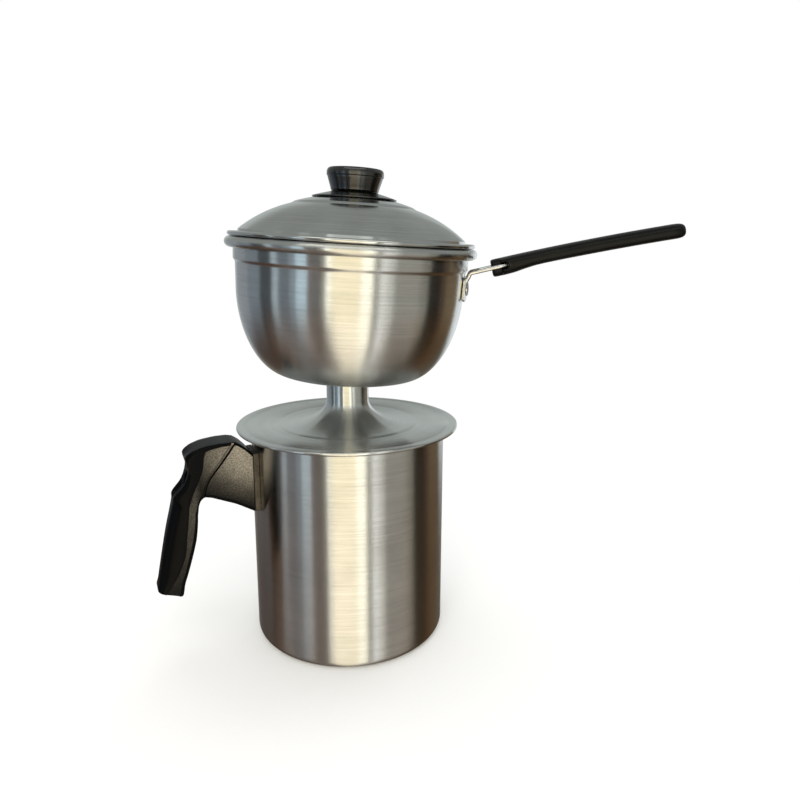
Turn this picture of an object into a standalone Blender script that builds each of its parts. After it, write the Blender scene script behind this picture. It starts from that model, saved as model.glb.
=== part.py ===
"""Small couscous steamer at its real size, in metres, +Z up.

A boiling jug stands at the bottom, with the centre of its flat base at the origin and its handle
along -X. A spun steam plate lies on the jug's mouth, and its neck carries a round-bottomed bowl
with a perforated grid, a long handle and a lid. The bowl leans a little on the neck, so all that
belongs to the bowl and the lid is built upright and parented to a leaning empty at the middle of
the bowl's bottom. Outlines of turned pieces are (radius, height) points.
"""

import math

import bmesh
import bpy
from mathutils import Matrix, Vector

GAP = 0.0003  # left between pieces that touch
LARGE_TURN = 36  # facets round the jug, the plate, the bowl and the lid
SMALL_TURN = 24  # facets round the knob's pieces
FASTENER_TURN = 12  # facets round a rivet, a screw or a washer
SMOOTH_ANGLE = math.radians(35)

# Boiling jug
JUG_RADIUS = 0.0600  # outside, at the foot
JUG_DRAW = 0.0004  # how much narrower the jug is at the mouth, on the radius
JUG_WALL = 0.0012
JUG_BASE_THICKNESS = 0.0016
JUG_CORNER_RADIUS = 0.0050
JUG_HEIGHT = 0.1336
JUG_BEAD_RADIUS = 0.0015
SPOUT_CLEARANCE = 0.0004  # from the lip's tip to the steam plate's turned-down edge
SPOUT_HEIGHT = 0.0260
SPOUT_HALF_ANGLE = math.radians(30)

# Handle of the jug, in the plane through the jug's axis along -X
HANDLE_WIDTH = 0.0200
HANDLE_END_WIDTH = 0.0160  # at the tip of the tail
HANDLE_RIDGE_WIDTH = 0.0050  # of the rounded outer ridge of the tail
HANDLE_EDGE_RADIUS = 0.0012
HANDLE_REACH = 0.0571  # of the handle, out from its seam at the bracket
HANDLE_FALL = 0.0903  # from the handle's highest point to the tip of its tail
HANDLE_SETBACK = 0.0015  # of the handle's highest point below the jug's rim
BRACKET_THICKNESS = 0.0022  # from the wall to the handle's seam, on the middle line
BRACKET_SETBACK = 0.0096  # of the bracket's top below the jug's rim
BRACKET_HEIGHT = 0.0355
BOSS_RADIUS = 0.0050
BOSS_LENGTH = 0.0105
BOSS_SETBACK = 0.0122  # of the handle screw's axis below the bracket's top
BRACKET_RIVET_RADIUS = 0.0020
BRACKET_RIVET_MARGIN = 0.0037  # from a rivet's axis to the bracket's end
BRACKET_RIVET_HEAD_RADIUS = 0.0036
HANDLE_SCREW_RADIUS = 0.0020
HANDLE_SCREW_LENGTH = 0.0245  # under the head
HANDLE_SCREW_HEAD_RADIUS = 0.0038
HANDLE_SCREW_HEAD_HEIGHT = 0.0024
SCREW_CLEARANCE = 0.0004  # round a screw or a rivet, on the radius

# Steam plate with its neck
PLATE_OVERHANG = 0.0082  # of the plate's edge beyond the jug's foot
PLATE_SHEET = 0.0012
PLATE_EDGE_RADIUS = 0.0009
SKIRT_CLEARANCE = 0.0004  # to the jug's mouth, on the radius
SKIRT_DEPTH = 0.0060
NECK_RADIUS = 0.0130
NECK_FLARE_RADIUS = 0.0170  # how far the flare spreads over the plate
NECK_FLARE_HEIGHT = 0.0139
NECK_LENGTH = 0.0304  # from the plate's top to the bowl's seat
NECK_BEND_LENGTH = 0.0080  # top stretch of the neck in which it takes up the lean
NECK_SHOULDER = 0.0011  # on which the bowl sits, on the radius
NECK_LIP_WIDTH = 0.0036  # of the rolled end inside the bowl
NECK_LIP_THICKNESS = 0.0009
WASHER_WIDTH = 0.0053
WASHER_THICKNESS = 0.0011

# Lean of the bowl on the neck
LEAN = math.radians(3.3)
LEAN_TOWARDS = math.radians(-43)

# Steamer bowl
BOWL_MOUTH_RADIUS = 0.0672  # inside, at the rim
BOWL_WALL = 0.0012
BOWL_FLAT_RADIUS = 0.0390
BOWL_ROUND_HEIGHT = 0.0510  # from the bottom to where the wall stands upright
BOWL_ROUND_POWER = 1.865
BOWL_WALL_TAPER = 0.0004
BOWL_STEP = 0.0012  # how far the band under the rim stands out
BOWL_BAND_DEPTH = 0.0141  # from the rim down to the step
BOWL_BEAD_RADIUS = 0.0030
BOWL_HEIGHT = 0.0780

# Steam grid
GRID_HEIGHT = 0.0130  # of its underside above the bowl's bottom
GRID_THICKNESS = 0.0012
GRID_HOLE_RADIUS = 0.0020
GRID_RING_STEP = 0.0108
GRID_RINGS = 4

# Handle of the bowl
BOWL_HANDLE_TURN = math.radians(-30)
FRAME_PLATE_THICKNESS = 0.0014
FRAME_PLATE_HALF_WIDTH = 0.0120
FRAME_PLATE_HEIGHT = 0.0136
FRAME_PLATE_SETBACK = 0.0016  # of the plate's top below the bowl's step
PLATE_RIVET_RADIUS = 0.0018
PLATE_RIVET_HEAD_RADIUS = 0.0037
PLATE_RIVET_SPREAD = 0.0052  # to each side of the handle's middle line
WIRE_RADIUS = 0.00115
WIRE_SPREAD = 0.0085  # of each leg from the handle's middle line, at the bowl
WIRE_GRIP_SPREAD = 0.0060  # inside the grip
WIRE_BEND_RADIUS = 0.0022
WIRE_LEG_DROP = 0.0070  # from the bend down on to the plate
WIRE_STANDOFF = 0.0005  # from the bowl's band
HANDLE_LINE_RISE = 0.0021  # of the handle's middle line above the plate's top, at the bowl
HANDLE_START_RISE = math.radians(17.0)
HANDLE_END_RISE = math.radians(12.5)
HANDLE_LENGTH = 0.1230
GRIP_START = 0.0144  # along the handle's middle line
GRIP_NOSE_LENGTH = 0.0052
GRIP_NOSE_HALF_WIDTH = 0.0066
GRIP_HALF_WIDTH = 0.0102
GRIP_END_HALF_WIDTH = 0.0086
GRIP_TOP = 0.0045  # above the wire's middle line
GRIP_BOTTOM = 0.0038  # below it
GRIP_CHIN = 0.0018  # extra depth under the grip's near end
GRIP_CHIN_LENGTH = 0.0240  # over which that depth fades
GRIP_SHOULDER_LENGTH = 0.0008  # in which the nose widens to the grip
GRIP_TIP_LENGTH = 0.0100  # in which the far end rounds off
POCKET_HALF_LENGTH = 0.0031
POCKET_HALF_HEIGHT = 0.0023
POCKET_DEPTH = 0.0034
WIRE_DEPTH_IN_GRIP = 0.0660
WIRE_TUNNEL_CLEARANCE = 0.00035

# Lid
LID_OVERHANG = 0.0044  # of the lid's edge beyond the bowl's mouth
LID_SHEET = 0.0010
LID_BEAD_RADIUS = 0.00125
LID_RING_CLEARANCE = 0.0004  # to the bowl's mouth, on the radius
LID_RING_DEPTH = 0.0029  # below the lid's flange
LID_RING_WIDTH = 0.0022
LID_CROWN_HEIGHT = 0.0267  # of the middle above the bowl's rim
LID_CROWN_RADIUS = 0.1110  # of the raised middle's curve
LID_CROWN_EDGE = 0.0338
LID_STEP_WIDTH = 0.0028  # of the step from the raised middle down to the dome
LID_DOME_DROP = 0.0015  # height of that step
LID_DOME_BULGE = 0.00173  # of the dome beyond a straight cone
LID_DOME_INSET = 0.0012  # of the dome's foot inside the locating ring's outside
LID_DOME_LIFT = 0.0014  # of the dome's foot above the lid's flange

# Knob, guard and their fastening
GUARD_RADIUS = 0.0245
GUARD_THICKNESS = 0.0008
GUARD_COLLAR_RADIUS = 0.0137
GUARD_COLLAR_HEIGHT = 0.0016  # above the middle of the lid
KNOB_FOOT_RADIUS = 0.0139
KNOB_RADIUS = 0.01645
KNOB_TOP_RADIUS = 0.0146
KNOB_HEIGHT = 0.0124
KNOB_BAND_HEIGHT = 0.0045  # of the rounded band at the top
KNOB_DISH = 0.0006
KNOB_SCREW_RADIUS = 0.0020
KNOB_SCREW_HEAD_RADIUS = 0.0040
KNOB_SCREW_HEAD_HEIGHT = 0.0020
KNOB_WASHER_RADIUS = 0.0060
KNOB_WASHER_THICKNESS = 0.0008
INSERT_RADIUS = 0.0036
INSERT_LENGTH = 0.0080

ALUMINIUM = ("spun_aluminium", (0.60, 0.61, 0.61), 1.0, 0.28)
PLATED_STEEL = ("plated_steel", (0.70, 0.70, 0.71), 1.0, 0.12)
BRASS = ("brass", (0.62, 0.45, 0.18), 1.0, 0.30)
PHENOLIC = ("black_brown_phenolic", (0.030, 0.024, 0.020), 0.0, 0.42)
GLOSS_PHENOLIC = ("gloss_black_phenolic", (0.016, 0.014, 0.014), 0.0, 0.14)
GRIP_PLASTIC = ("black_grip_plastic", (0.018, 0.018, 0.018), 0.0, 0.48)


def collection(name):
    """Make a collection in the scene."""
    made = bpy.data.collections.new(name)
    bpy.context.scene.collection.children.link(made)
    return made


def material(finish):
    """Make, or find, the material of a named finish."""
    name, colour, metallic, roughness = finish
    made = bpy.data.materials.get(name)
    if made is None:
        made = bpy.data.materials.new(name)
        made.use_nodes = True
        shader = made.node_tree.nodes["Principled BSDF"]
        shader.inputs["Base Color"].default_value = (*colour, 1.0)
        shader.inputs["Metallic"].default_value = metallic
        shader.inputs["Roughness"].default_value = roughness
        made.diffuse_color = (*colour, 1.0)
    return made


def add_piece(name, mesh, finish, parent=None):
    """Put a mesh into the model as one named piece."""
    piece = bpy.data.objects.new(name, mesh)
    parts.objects.link(piece)
    piece.parent = parent
    mesh.materials.append(material(finish))
    return piece


def add_cutter(name, mesh, parent=None):
    """Put a mesh into the model as a cutter."""
    cutter = bpy.data.objects.new(name, mesh)
    cutters.objects.link(cutter)
    cutter.parent = parent
    cutter.hide_render = True
    cutter.display_type = "WIRE"
    return cutter


def cut(target, *tools, operation="DIFFERENCE"):
    """Cut a piece by each tool, or join it with them."""
    for tool in tools:
        modifier = target.modifiers.new(tool.name, "BOOLEAN")
        modifier.operation = operation
        modifier.object = tool


def freeze(piece):
    """Keep what the piece's modifiers make of its mesh, and drop the modifiers."""
    depsgraph = bpy.context.evaluated_depsgraph_get()
    mesh = bpy.data.meshes.new_from_object(piece.evaluated_get(depsgraph))
    mesh.name = piece.name
    piece.modifiers.clear()
    piece.data = mesh


def smooth(mesh):
    """Shade a mesh smooth, with its real edges sharp."""
    mesh.shade_smooth()
    mesh.set_sharp_from_angle(angle=SMOOTH_ANGLE)


def arc(centre, radius, start, end, steps):
    """Points of an arc; a pair of radii makes it elliptical. Angles are in degrees from +X."""
    wide, tall = radius if isinstance(radius, tuple) else (radius, radius)
    angles = [math.radians(start + (end - start) * i / steps) for i in range(steps + 1)]
    return [(centre[0] + wide * math.cos(a), centre[1] + tall * math.sin(a)) for a in angles]


def turned(name, outline, finish, closed=False, steps=LARGE_TURN, parent=None):
    """Turn an outline round the piece's own Z axis. A closed outline leaves a bore."""
    following = outline[1:] + outline[:1]
    area = sum(a[0] * b[1] - b[0] * a[1] for a, b in zip(outline, following))
    points = outline if area < 0 else outline[::-1]
    edges = [(i, i + 1) for i in range(len(points) - 1)]
    if closed:
        edges.append((len(points) - 1, 0))
    mesh = bpy.data.meshes.new(name)
    mesh.from_pydata([(radius, 0, height) for radius, height in points], edges, [])
    piece = add_piece(name, mesh, finish, parent)
    screw = piece.modifiers.new("turn", "SCREW")
    screw.axis = "Z"
    screw.angle = math.tau
    screw.steps = steps
    screw.render_steps = steps
    screw.use_merge_vertices = True
    screw.merge_threshold = 0.00001
    return piece


def rod_mesh(name, radius, start, end, sides=FASTENER_TURN):
    """A plain round rod from one point to another."""
    start, end = Vector(start), Vector(end)
    shape = bmesh.new()
    bmesh.ops.create_cone(
        shape, cap_ends=True, segments=sides, radius1=radius, radius2=radius, depth=(end - start).length
    )
    turn = (end - start).to_track_quat("Z", "Y").to_matrix().to_4x4()
    bmesh.ops.transform(shape, matrix=Matrix.Translation((start + end) / 2) @ turn, verts=shape.verts)
    mesh = bpy.data.meshes.new(name)
    shape.to_mesh(mesh)
    shape.free()
    return mesh


def loft_mesh(name, sections):
    """A closed skin over rings of equally many points, capped at both ends."""
    shape = bmesh.new()
    rings = [[shape.verts.new(point) for point in section] for section in sections]
    for low, high in zip(rings, rings[1:]):
        for i, vertex in enumerate(low):
            j = (i + 1) % len(low)
            shape.faces.new((vertex, low[j], high[j], high[i]))
    shape.faces.new(rings[0][::-1])
    shape.faces.new(rings[-1])
    bmesh.ops.recalc_face_normals(shape, faces=shape.faces)
    mesh = bpy.data.meshes.new(name)
    shape.to_mesh(mesh)
    shape.free()
    smooth(mesh)
    return mesh


def tube_mesh(name, points, radius):
    """A closed tube along points, made as a curve and welded into a mesh."""
    curve = bpy.data.curves.new(name, "CURVE")
    curve.dimensions = "3D"
    curve.bevel_depth = radius
    curve.bevel_resolution = 2
    curve.use_fill_caps = True
    spline = curve.splines.new("POLY")
    spline.points.add(len(points) - 1)
    for slot, point in zip(spline.points, points):
        slot.co = (*point, 1)
    guide = bpy.data.objects.new(name, curve)
    cutters.objects.link(guide)
    depsgraph = bpy.context.evaluated_depsgraph_get()
    mesh = bpy.data.meshes.new_from_object(guide.evaluated_get(depsgraph))
    bpy.data.objects.remove(guide)
    shape = bmesh.new()
    shape.from_mesh(mesh)
    bmesh.ops.remove_doubles(shape, verts=shape.verts, dist=0.00001)
    shape.to_mesh(mesh)
    shape.free()
    mesh.name = name
    return mesh


def headed_outline(radius, length, head_radius, head_height, domed=True):
    """Outline of a rivet or a screw: its shank stands on the origin and its head lies above."""
    top = [(0.0, length + head_height)]
    if domed:
        top += arc((0.0, length), (head_radius, head_height), 60, 0, 2)
    else:
        top += [(head_radius, length + head_height), (head_radius, length)]
    return top + [(radius, length), (radius, 0.0), (0.0, 0.0)]


def headed_pin(name, finish, start, end, radius, head_radius, head_height, parent=None, domed=True):
    """A rivet or a screw from the tip of its shank to the underside of its head."""
    start, end = Vector(start), Vector(end)
    outline = headed_outline(radius, (end - start).length, head_radius, head_height, domed)
    piece = turned(name, outline, finish, steps=FASTENER_TURN, parent=parent)
    piece.location = start
    piece.rotation_euler = (end - start).to_track_quat("Z", "Y").to_euler()
    return piece


# Boiling jug

def jug_outer_radius(height):
    """Outside radius of the jug's slightly drawn-in wall."""
    return JUG_RADIUS - JUG_DRAW * height / JUG_HEIGHT


def jug_mouth_radius():
    """Inside radius of the jug at its mouth."""
    return jug_outer_radius(JUG_HEIGHT) - JUG_WALL


def spout_reach():
    """How far the tip of the pouring lip stands out from the rolled rim, inside the plate's edge."""
    rim = jug_mouth_radius() + 2 * JUG_BEAD_RADIUS
    return plate_radius() - 2 * PLATE_EDGE_RADIUS - SPOUT_CLEARANCE - rim


def spout_push(x, y, height):
    """How far the pouring lip, opposite the handle, stands out at a place on the wall."""
    rise = (height - JUG_HEIGHT + SPOUT_HEIGHT) / SPOUT_HEIGHT
    turn = math.atan2(y, x) / SPOUT_HALF_ANGLE
    if rise <= 0 or abs(turn) >= 1:
        return 0.0
    return spout_reach() * min(rise, 1.0) ** 1.6 * math.cos(turn * math.pi / 2) ** 2


def make_jug():
    """The jug: flat base, rounded corner, upright wall, rolled rim and pouring lip."""
    corner = JUG_CORNER_RADIUS
    inner_corner = corner - JUG_WALL
    inner_foot = JUG_RADIUS - JUG_WALL
    bead_centre = (jug_mouth_radius() + JUG_BEAD_RADIUS, JUG_HEIGHT - JUG_BEAD_RADIUS)
    wall_top = jug_outer_radius(bead_centre[1])
    bead_end = -math.degrees(math.acos((wall_top - bead_centre[0]) / JUG_BEAD_RADIUS))
    heights = [JUG_HEIGHT - SPOUT_HEIGHT * share for share in (1.0, 0.72, 0.44, 0.22)]
    outline = [(0.0, JUG_BASE_THICKNESS)]
    outline += arc((inner_foot - inner_corner, JUG_BASE_THICKNESS + inner_corner), inner_corner, -90, 0, 3)
    outline += [(jug_outer_radius(z) - JUG_WALL, z) for z in heights]
    outline += arc(bead_centre, JUG_BEAD_RADIUS, 180, bead_end, 7)
    outline += [(jug_outer_radius(z), z) for z in reversed(heights)]
    outline += arc((JUG_RADIUS - corner, corner), corner, 0, -90, 4)
    outline += [(0.0, 0.0)]
    jug = turned("boiler_jug", outline, ALUMINIUM)
    freeze(jug)
    for vertex in jug.data.vertices:
        push = spout_push(*vertex.co)
        around = Vector((vertex.co.x, vertex.co.y, 0.0)).normalized() if push else Vector()
        vertex.co += push * around
    smooth(jug.data)
    return jug


def bracket_top():
    """Height of the bracket's top above the jug's base."""
    return JUG_HEIGHT - BRACKET_SETBACK


def bracket_bottom():
    """Height of the bracket's bottom above the jug's base."""
    return bracket_top() - BRACKET_HEIGHT


def bracket_rivet_heights():
    """Heights of the two rivets that hold the bracket."""
    return bracket_bottom() + BRACKET_RIVET_MARGIN, bracket_top() - BRACKET_RIVET_MARGIN


def boss_height():
    """Height of the boss and of the handle screw above the jug's base."""
    return bracket_top() - BOSS_SETBACK


def bracket_face():
    """Distance of the bracket's flat outer face from the jug's axis."""
    return JUG_RADIUS + BRACKET_THICKNESS


def make_bracket(jug):
    """The bracket: a block hollowed to the jug's wall, with a boss for the handle screw."""
    face, low, high, boss_at = bracket_face(), bracket_bottom(), bracket_top(), boss_height()
    wall_radius = jug_outer_radius(low) + GAP
    depth = face - wall_radius * math.cos(math.asin(HANDLE_WIDTH / 2 / wall_radius)) + GAP
    shape = bmesh.new()
    bmesh.ops.create_cube(shape, size=1.0)
    bmesh.ops.scale(shape, vec=(depth, HANDLE_WIDTH, high - low), verts=shape.verts)
    bmesh.ops.translate(shape, vec=(depth / 2 - face, 0.0, (high + low) / 2), verts=shape.verts)
    mesh = bpy.data.meshes.new("handle_bracket")
    shape.to_mesh(mesh)
    shape.free()
    bracket = add_piece("handle_bracket", mesh, ALUMINIUM)
    wall = rod_mesh("jug_wall", wall_radius, (0, 0, low / 2), (0, 0, JUG_HEIGHT), sides=4 * LARGE_TURN)
    boss_start = (-face + BRACKET_THICKNESS / 2, 0, boss_at)
    boss_end = (-face - BOSS_LENGTH, 0, boss_at)
    boss = rod_mesh("boss", BOSS_RADIUS, boss_start, boss_end, sides=SMALL_TURN)
    bore = rod_mesh(
        "boss_bore", HANDLE_SCREW_RADIUS + SCREW_CLEARANCE,
        (-face, 0, boss_at), (-face - 2 * BOSS_LENGTH, 0, boss_at),
    )
    cut(bracket, add_cutter("jug_wall", wall))
    cut(bracket, add_cutter("boss", boss), operation="UNION")
    cut(bracket, add_cutter("boss_bore", bore))
    head_seat = jug_mouth_radius() - GAP - BRACKET_RIVET_HEAD_RADIUS**2 / JUG_RADIUS
    for name, height in zip(("lower", "upper"), bracket_rivet_heights()):
        tip, seat = (-face + GAP, 0, height), (-head_seat, 0, height)
        hole = rod_mesh(
            f"{name}_bracket_hole", BRACKET_RIVET_RADIUS + SCREW_CLEARANCE,
            (-2 * face, 0, height), (-head_seat / 2, 0, height),
        )
        hole_cutter = add_cutter(f"{name}_bracket_hole", hole)
        cut(bracket, hole_cutter)
        cut(jug, hole_cutter)
        headed_pin(
            f"bracket_rivet_{name}", ALUMINIUM, tip, seat,
            BRACKET_RIVET_RADIUS, BRACKET_RIVET_HEAD_RADIUS, BRACKET_RIVET_RADIUS * 0.7,
        )


def handle_sections():
    """Rings of the jug handle, from the seam at the bracket to the tip of the tail.

    Each row pairs a point of the under or inner side with a point of the top or outer side. A
    point is a share of the handle's reach out from the seam and a share of its height above the
    tip. The third number is the share of the ring's depth that keeps flat sides.
    """
    seam = bracket_face() + GAP
    low = JUG_HEIGHT - HANDLE_SETBACK - HANDLE_FALL
    rows = [
        ((0.088, 0.550), (0.088, 0.967), 0.97),
        ((0.180, 0.584), (0.180, 1.000), 0.97),
        ((0.298, 0.617), (0.306, 1.000), 0.96),
        ((0.412, 0.648), (0.455, 0.990), 0.86),
        ((0.490, 0.659), (0.595, 0.960), 0.72),
        ((0.527, 0.642), (0.650, 0.926), 0.58),
        ((0.546, 0.618), (0.629, 0.859), 0.52),
        ((0.555, 0.594), (0.650, 0.794), 0.48),
        ((0.560, 0.569), (0.692, 0.739), 0.44),
        ((0.566, 0.545), (0.778, 0.678), 0.42),
        ((0.569, 0.512), (0.792, 0.639), 0.40),
        ((0.578, 0.456), (0.825, 0.556), 0.36),
        ((0.597, 0.379), (0.869, 0.447), 0.32),
        ((0.639, 0.279), (0.919, 0.301), 0.30),
        ((0.692, 0.168), (0.965, 0.157), 0.36),
        ((0.732, 0.091), (0.982, 0.102), 0.46),
        ((0.753, 0.020), (0.996, 0.064), 0.58),
        ((0.771, 0.000), (0.984, 0.047), 0.62),
    ]
    seam_ends = (Vector((seam, bracket_bottom())), Vector((seam, bracket_top())))
    sections = [handle_ring(*seam_ends, HANDLE_WIDTH / 2, 0.97)]
    for i, (inner, outer, flat) in enumerate(rows):
        tail = max(0.0, (i - 10) / (len(rows) - 11))
        half = (HANDLE_WIDTH + (HANDLE_END_WIDTH - HANDLE_WIDTH) * tail**2) / 2
        if i == len(rows) - 1:
            half -= HANDLE_EDGE_RADIUS
        ends = [Vector((seam + out * HANDLE_REACH, low + up * HANDLE_FALL)) for out, up in (inner, outer)]
        sections.append(handle_ring(*ends, half, flat))
    return sections


def handle_ring(inner, outer, half, flat):
    """One ring of the handle: flat sides near the inner point, then a curve to the outer ridge."""
    depth = (outer - inner).length
    ridge = HANDLE_RIDGE_WIDTH / 2 + (half - HANDLE_EDGE_RADIUS - HANDLE_RIDGE_WIDTH / 2) * max(
        0.0, (flat - 0.5) / 0.47
    )
    edge = min(HANDLE_EDGE_RADIUS / depth, flat / 2)
    profile = [(0.0, half - HANDLE_EDGE_RADIUS), (edge, half), (flat, half)]
    for step in (0.35, 0.7):
        angle = step * math.pi / 2
        profile.append((flat + (1 - flat) * math.sin(angle), ridge + (half - ridge) * math.cos(angle)))
    profile.append((1.0, ridge))
    ring = []
    for side, points in ((1, profile), (-1, profile[::-1])):
        for share, across in points:
            place = inner.lerp(outer, share)
            ring.append((-place.x, side * across, place.y))
    return ring


def make_jug_handle():
    """The moulded handle, bored for the bracket's boss and for its screw, and the screw."""
    handle = add_piece("jug_handle", loft_mesh("jug_handle", handle_sections()), PHENOLIC)
    seam, boss_at = bracket_face() + GAP, boss_height()
    boss_end = bracket_face() + BOSS_LENGTH + GAP
    screw_tip = bracket_face() + BOSS_LENGTH / 2
    head_seat = screw_tip + HANDLE_SCREW_LENGTH
    head_radius = HANDLE_SCREW_HEAD_RADIUS
    bores = (
        ("boss_pocket", BOSS_RADIUS + SCREW_CLEARANCE, seam / 2, boss_end, SMALL_TURN),
        ("screw_bore", HANDLE_SCREW_RADIUS + SCREW_CLEARANCE, seam / 2, 2 * head_seat, FASTENER_TURN),
        ("head_recess", head_radius + SCREW_CLEARANCE, head_seat - GAP, 2 * head_seat, SMALL_TURN),
    )
    for name, radius, start, end, sides in bores:
        rod = rod_mesh(name, radius, (-start, 0, boss_at), (-end, 0, boss_at), sides=sides)
        cut(handle, add_cutter(name, rod))
    headed_pin(
        "handle_screw", PLATED_STEEL, (-screw_tip, 0, boss_at), (-head_seat, 0, boss_at),
        HANDLE_SCREW_RADIUS, HANDLE_SCREW_HEAD_RADIUS, HANDLE_SCREW_HEAD_HEIGHT, domed=False,
    )


# Steam plate

def plate_radius():
    """Outside radius of the steam plate."""
    return JUG_RADIUS + PLATE_OVERHANG


def plate_top():
    """Height of the steam plate's top face above the jug's base."""
    return JUG_HEIGHT + GAP + PLATE_SHEET


def bowl_seat():
    """Height of the bowl's bottom on the neck."""
    return plate_top() + NECK_LENGTH + GAP


def spigot_radius():
    """Outside radius of the neck's narrowed end, which goes through the bowl's bottom."""
    return NECK_RADIUS - NECK_SHOULDER


def washer_top():
    """Height of the washer's top above the bowl's bottom."""
    return BOWL_WALL + GAP + WASHER_THICKNESS


def lean_matrix(share=1.0):
    """Rotation that leans an upright piece by a share of the bowl's lean."""
    axis = Vector((-math.sin(LEAN_TOWARDS), math.cos(LEAN_TOWARDS), 0.0))
    return Matrix.Rotation(LEAN * share, 4, axis)


def make_steam_plate():
    """The plate and its neck, spun from one sheet, with a skirt that centres it in the jug."""
    top, under, seat = plate_top(), plate_top() - PLATE_SHEET, bowl_seat()
    flare_foot = NECK_RADIUS + NECK_FLARE_RADIUS
    flare_top = top + NECK_FLARE_HEIGHT
    lip_under = seat + washer_top() + GAP
    spigot, rim = spigot_radius(), plate_radius()
    bore = spigot - PLATE_SHEET
    skirt = jug_mouth_radius() - SKIRT_CLEARANCE
    edge = PLATE_EDGE_RADIUS
    outline = [
        (bore, lip_under + NECK_LIP_THICKNESS),
        (spigot + NECK_LIP_WIDTH, lip_under + NECK_LIP_THICKNESS),
        (spigot + NECK_LIP_WIDTH, lip_under),
        (spigot, lip_under),
        (spigot, seat - GAP),
        (NECK_RADIUS, seat - GAP),
        (NECK_RADIUS, seat - NECK_BEND_LENGTH / 2),
        (NECK_RADIUS, seat - NECK_BEND_LENGTH),
    ]
    outline += arc((flare_foot, flare_top), (NECK_FLARE_RADIUS, NECK_FLARE_HEIGHT), 180, 270, 6)
    outline += arc((rim - edge, top - edge), edge, 90, -90, 4)
    outline += [(rim - 2 * edge, top - 2 * edge), (rim - 2 * edge, under)]
    outline += [(skirt, under), (skirt, under - SKIRT_DEPTH)]
    outline += [(skirt - PLATE_SHEET, under - SKIRT_DEPTH), (skirt - PLATE_SHEET, under)]
    inner_flare = (NECK_FLARE_RADIUS + PLATE_SHEET, NECK_FLARE_HEIGHT + PLATE_SHEET)
    outline += arc((flare_foot, flare_top), inner_flare, 270, 180, 6)
    outline += [
        (NECK_RADIUS - PLATE_SHEET, seat - NECK_BEND_LENGTH),
        (NECK_RADIUS - PLATE_SHEET, seat - NECK_BEND_LENGTH / 2),
        (bore, seat - NECK_BEND_LENGTH / 4),
    ]
    plate = turned("steam_plate", outline, ALUMINIUM, closed=True)
    freeze(plate)
    pivot = Vector((0.0, 0.0, seat))
    for vertex in plate.data.vertices:
        share = min(1.0, max(0.0, (vertex.co.z - seat + NECK_BEND_LENGTH) / (NECK_BEND_LENGTH - GAP)))
        vertex.co = pivot + lean_matrix(share) @ (vertex.co - pivot)
    smooth(plate.data)


# Steamer bowl

def bowl_side_radius():
    """Outside radius of the bowl's wall just under the step."""
    return BOWL_MOUTH_RADIUS + BOWL_WALL - BOWL_STEP


def bowl_step_height():
    """Height of the foot of the step in the bowl's wall."""
    return BOWL_HEIGHT - BOWL_BAND_DEPTH


def bowl_round(wall, steps=9):
    """The bowl's round part, from the flat bottom up to the upright wall, a wall's depth inside."""
    flat = BOWL_FLAT_RADIUS
    reach = bowl_side_radius() - BOWL_WALL_TAPER - wall - flat
    height = BOWL_ROUND_HEIGHT - wall
    points = []
    for i in range(steps + 1):
        angle = math.pi / 2 * (1 - i / steps)
        wide = math.cos(angle) ** (2 / BOWL_ROUND_POWER) if i else 0.0
        deep = math.sin(angle) ** (2 / BOWL_ROUND_POWER) if i < steps else 0.0
        points.append((flat + reach * wide, wall + height * (1 - deep)))
    return points


def bowl_inside_radius(height):
    """Inside radius of the bowl's round part at a height above its bottom."""
    reach = bowl_side_radius() - BOWL_WALL_TAPER - BOWL_WALL - BOWL_FLAT_RADIUS
    depth = (BOWL_ROUND_HEIGHT - height) / (BOWL_ROUND_HEIGHT - BOWL_WALL)
    return BOWL_FLAT_RADIUS + reach * (1 - depth**BOWL_ROUND_POWER) ** (1 / BOWL_ROUND_POWER)


def make_bowl(leaning):
    """The bowl, with the hole for the neck, the step in its wall and the rolled rim."""
    hole = spigot_radius() + GAP
    side = bowl_side_radius()
    band = side + BOWL_STEP
    step_low, step_high = bowl_step_height(), bowl_step_height() + BOWL_STEP
    bead_centre = (BOWL_MOUTH_RADIUS + BOWL_BEAD_RADIUS, BOWL_HEIGHT - BOWL_BEAD_RADIUS)
    bead_end = -math.degrees(math.acos((band - bead_centre[0]) / BOWL_BEAD_RADIUS))
    outline = [(hole, BOWL_WALL)] + bowl_round(BOWL_WALL)
    outline += [(side - BOWL_WALL, step_low), (band - BOWL_WALL, step_high)]
    outline += arc(bead_centre, BOWL_BEAD_RADIUS, 180, bead_end, 8)
    outline += [(band, step_high), (side, step_low)]
    outline += bowl_round(0.0)[::-1] + [(hole, 0.0)]
    return turned("steamer_bowl", outline, ALUMINIUM, closed=True, parent=leaning)


def make_bowl_washer(leaning):
    """The washer between the bowl's bottom and the neck's rolled lip."""
    low, high = BOWL_WALL + GAP, washer_top()
    bore = spigot_radius() + GAP
    rim = bore + WASHER_WIDTH
    outline = [(bore, high), (rim, high), (rim, low), (bore, low)]
    turned("bowl_washer", outline, ALUMINIUM, closed=True, steps=SMALL_TURN, parent=leaning)


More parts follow.
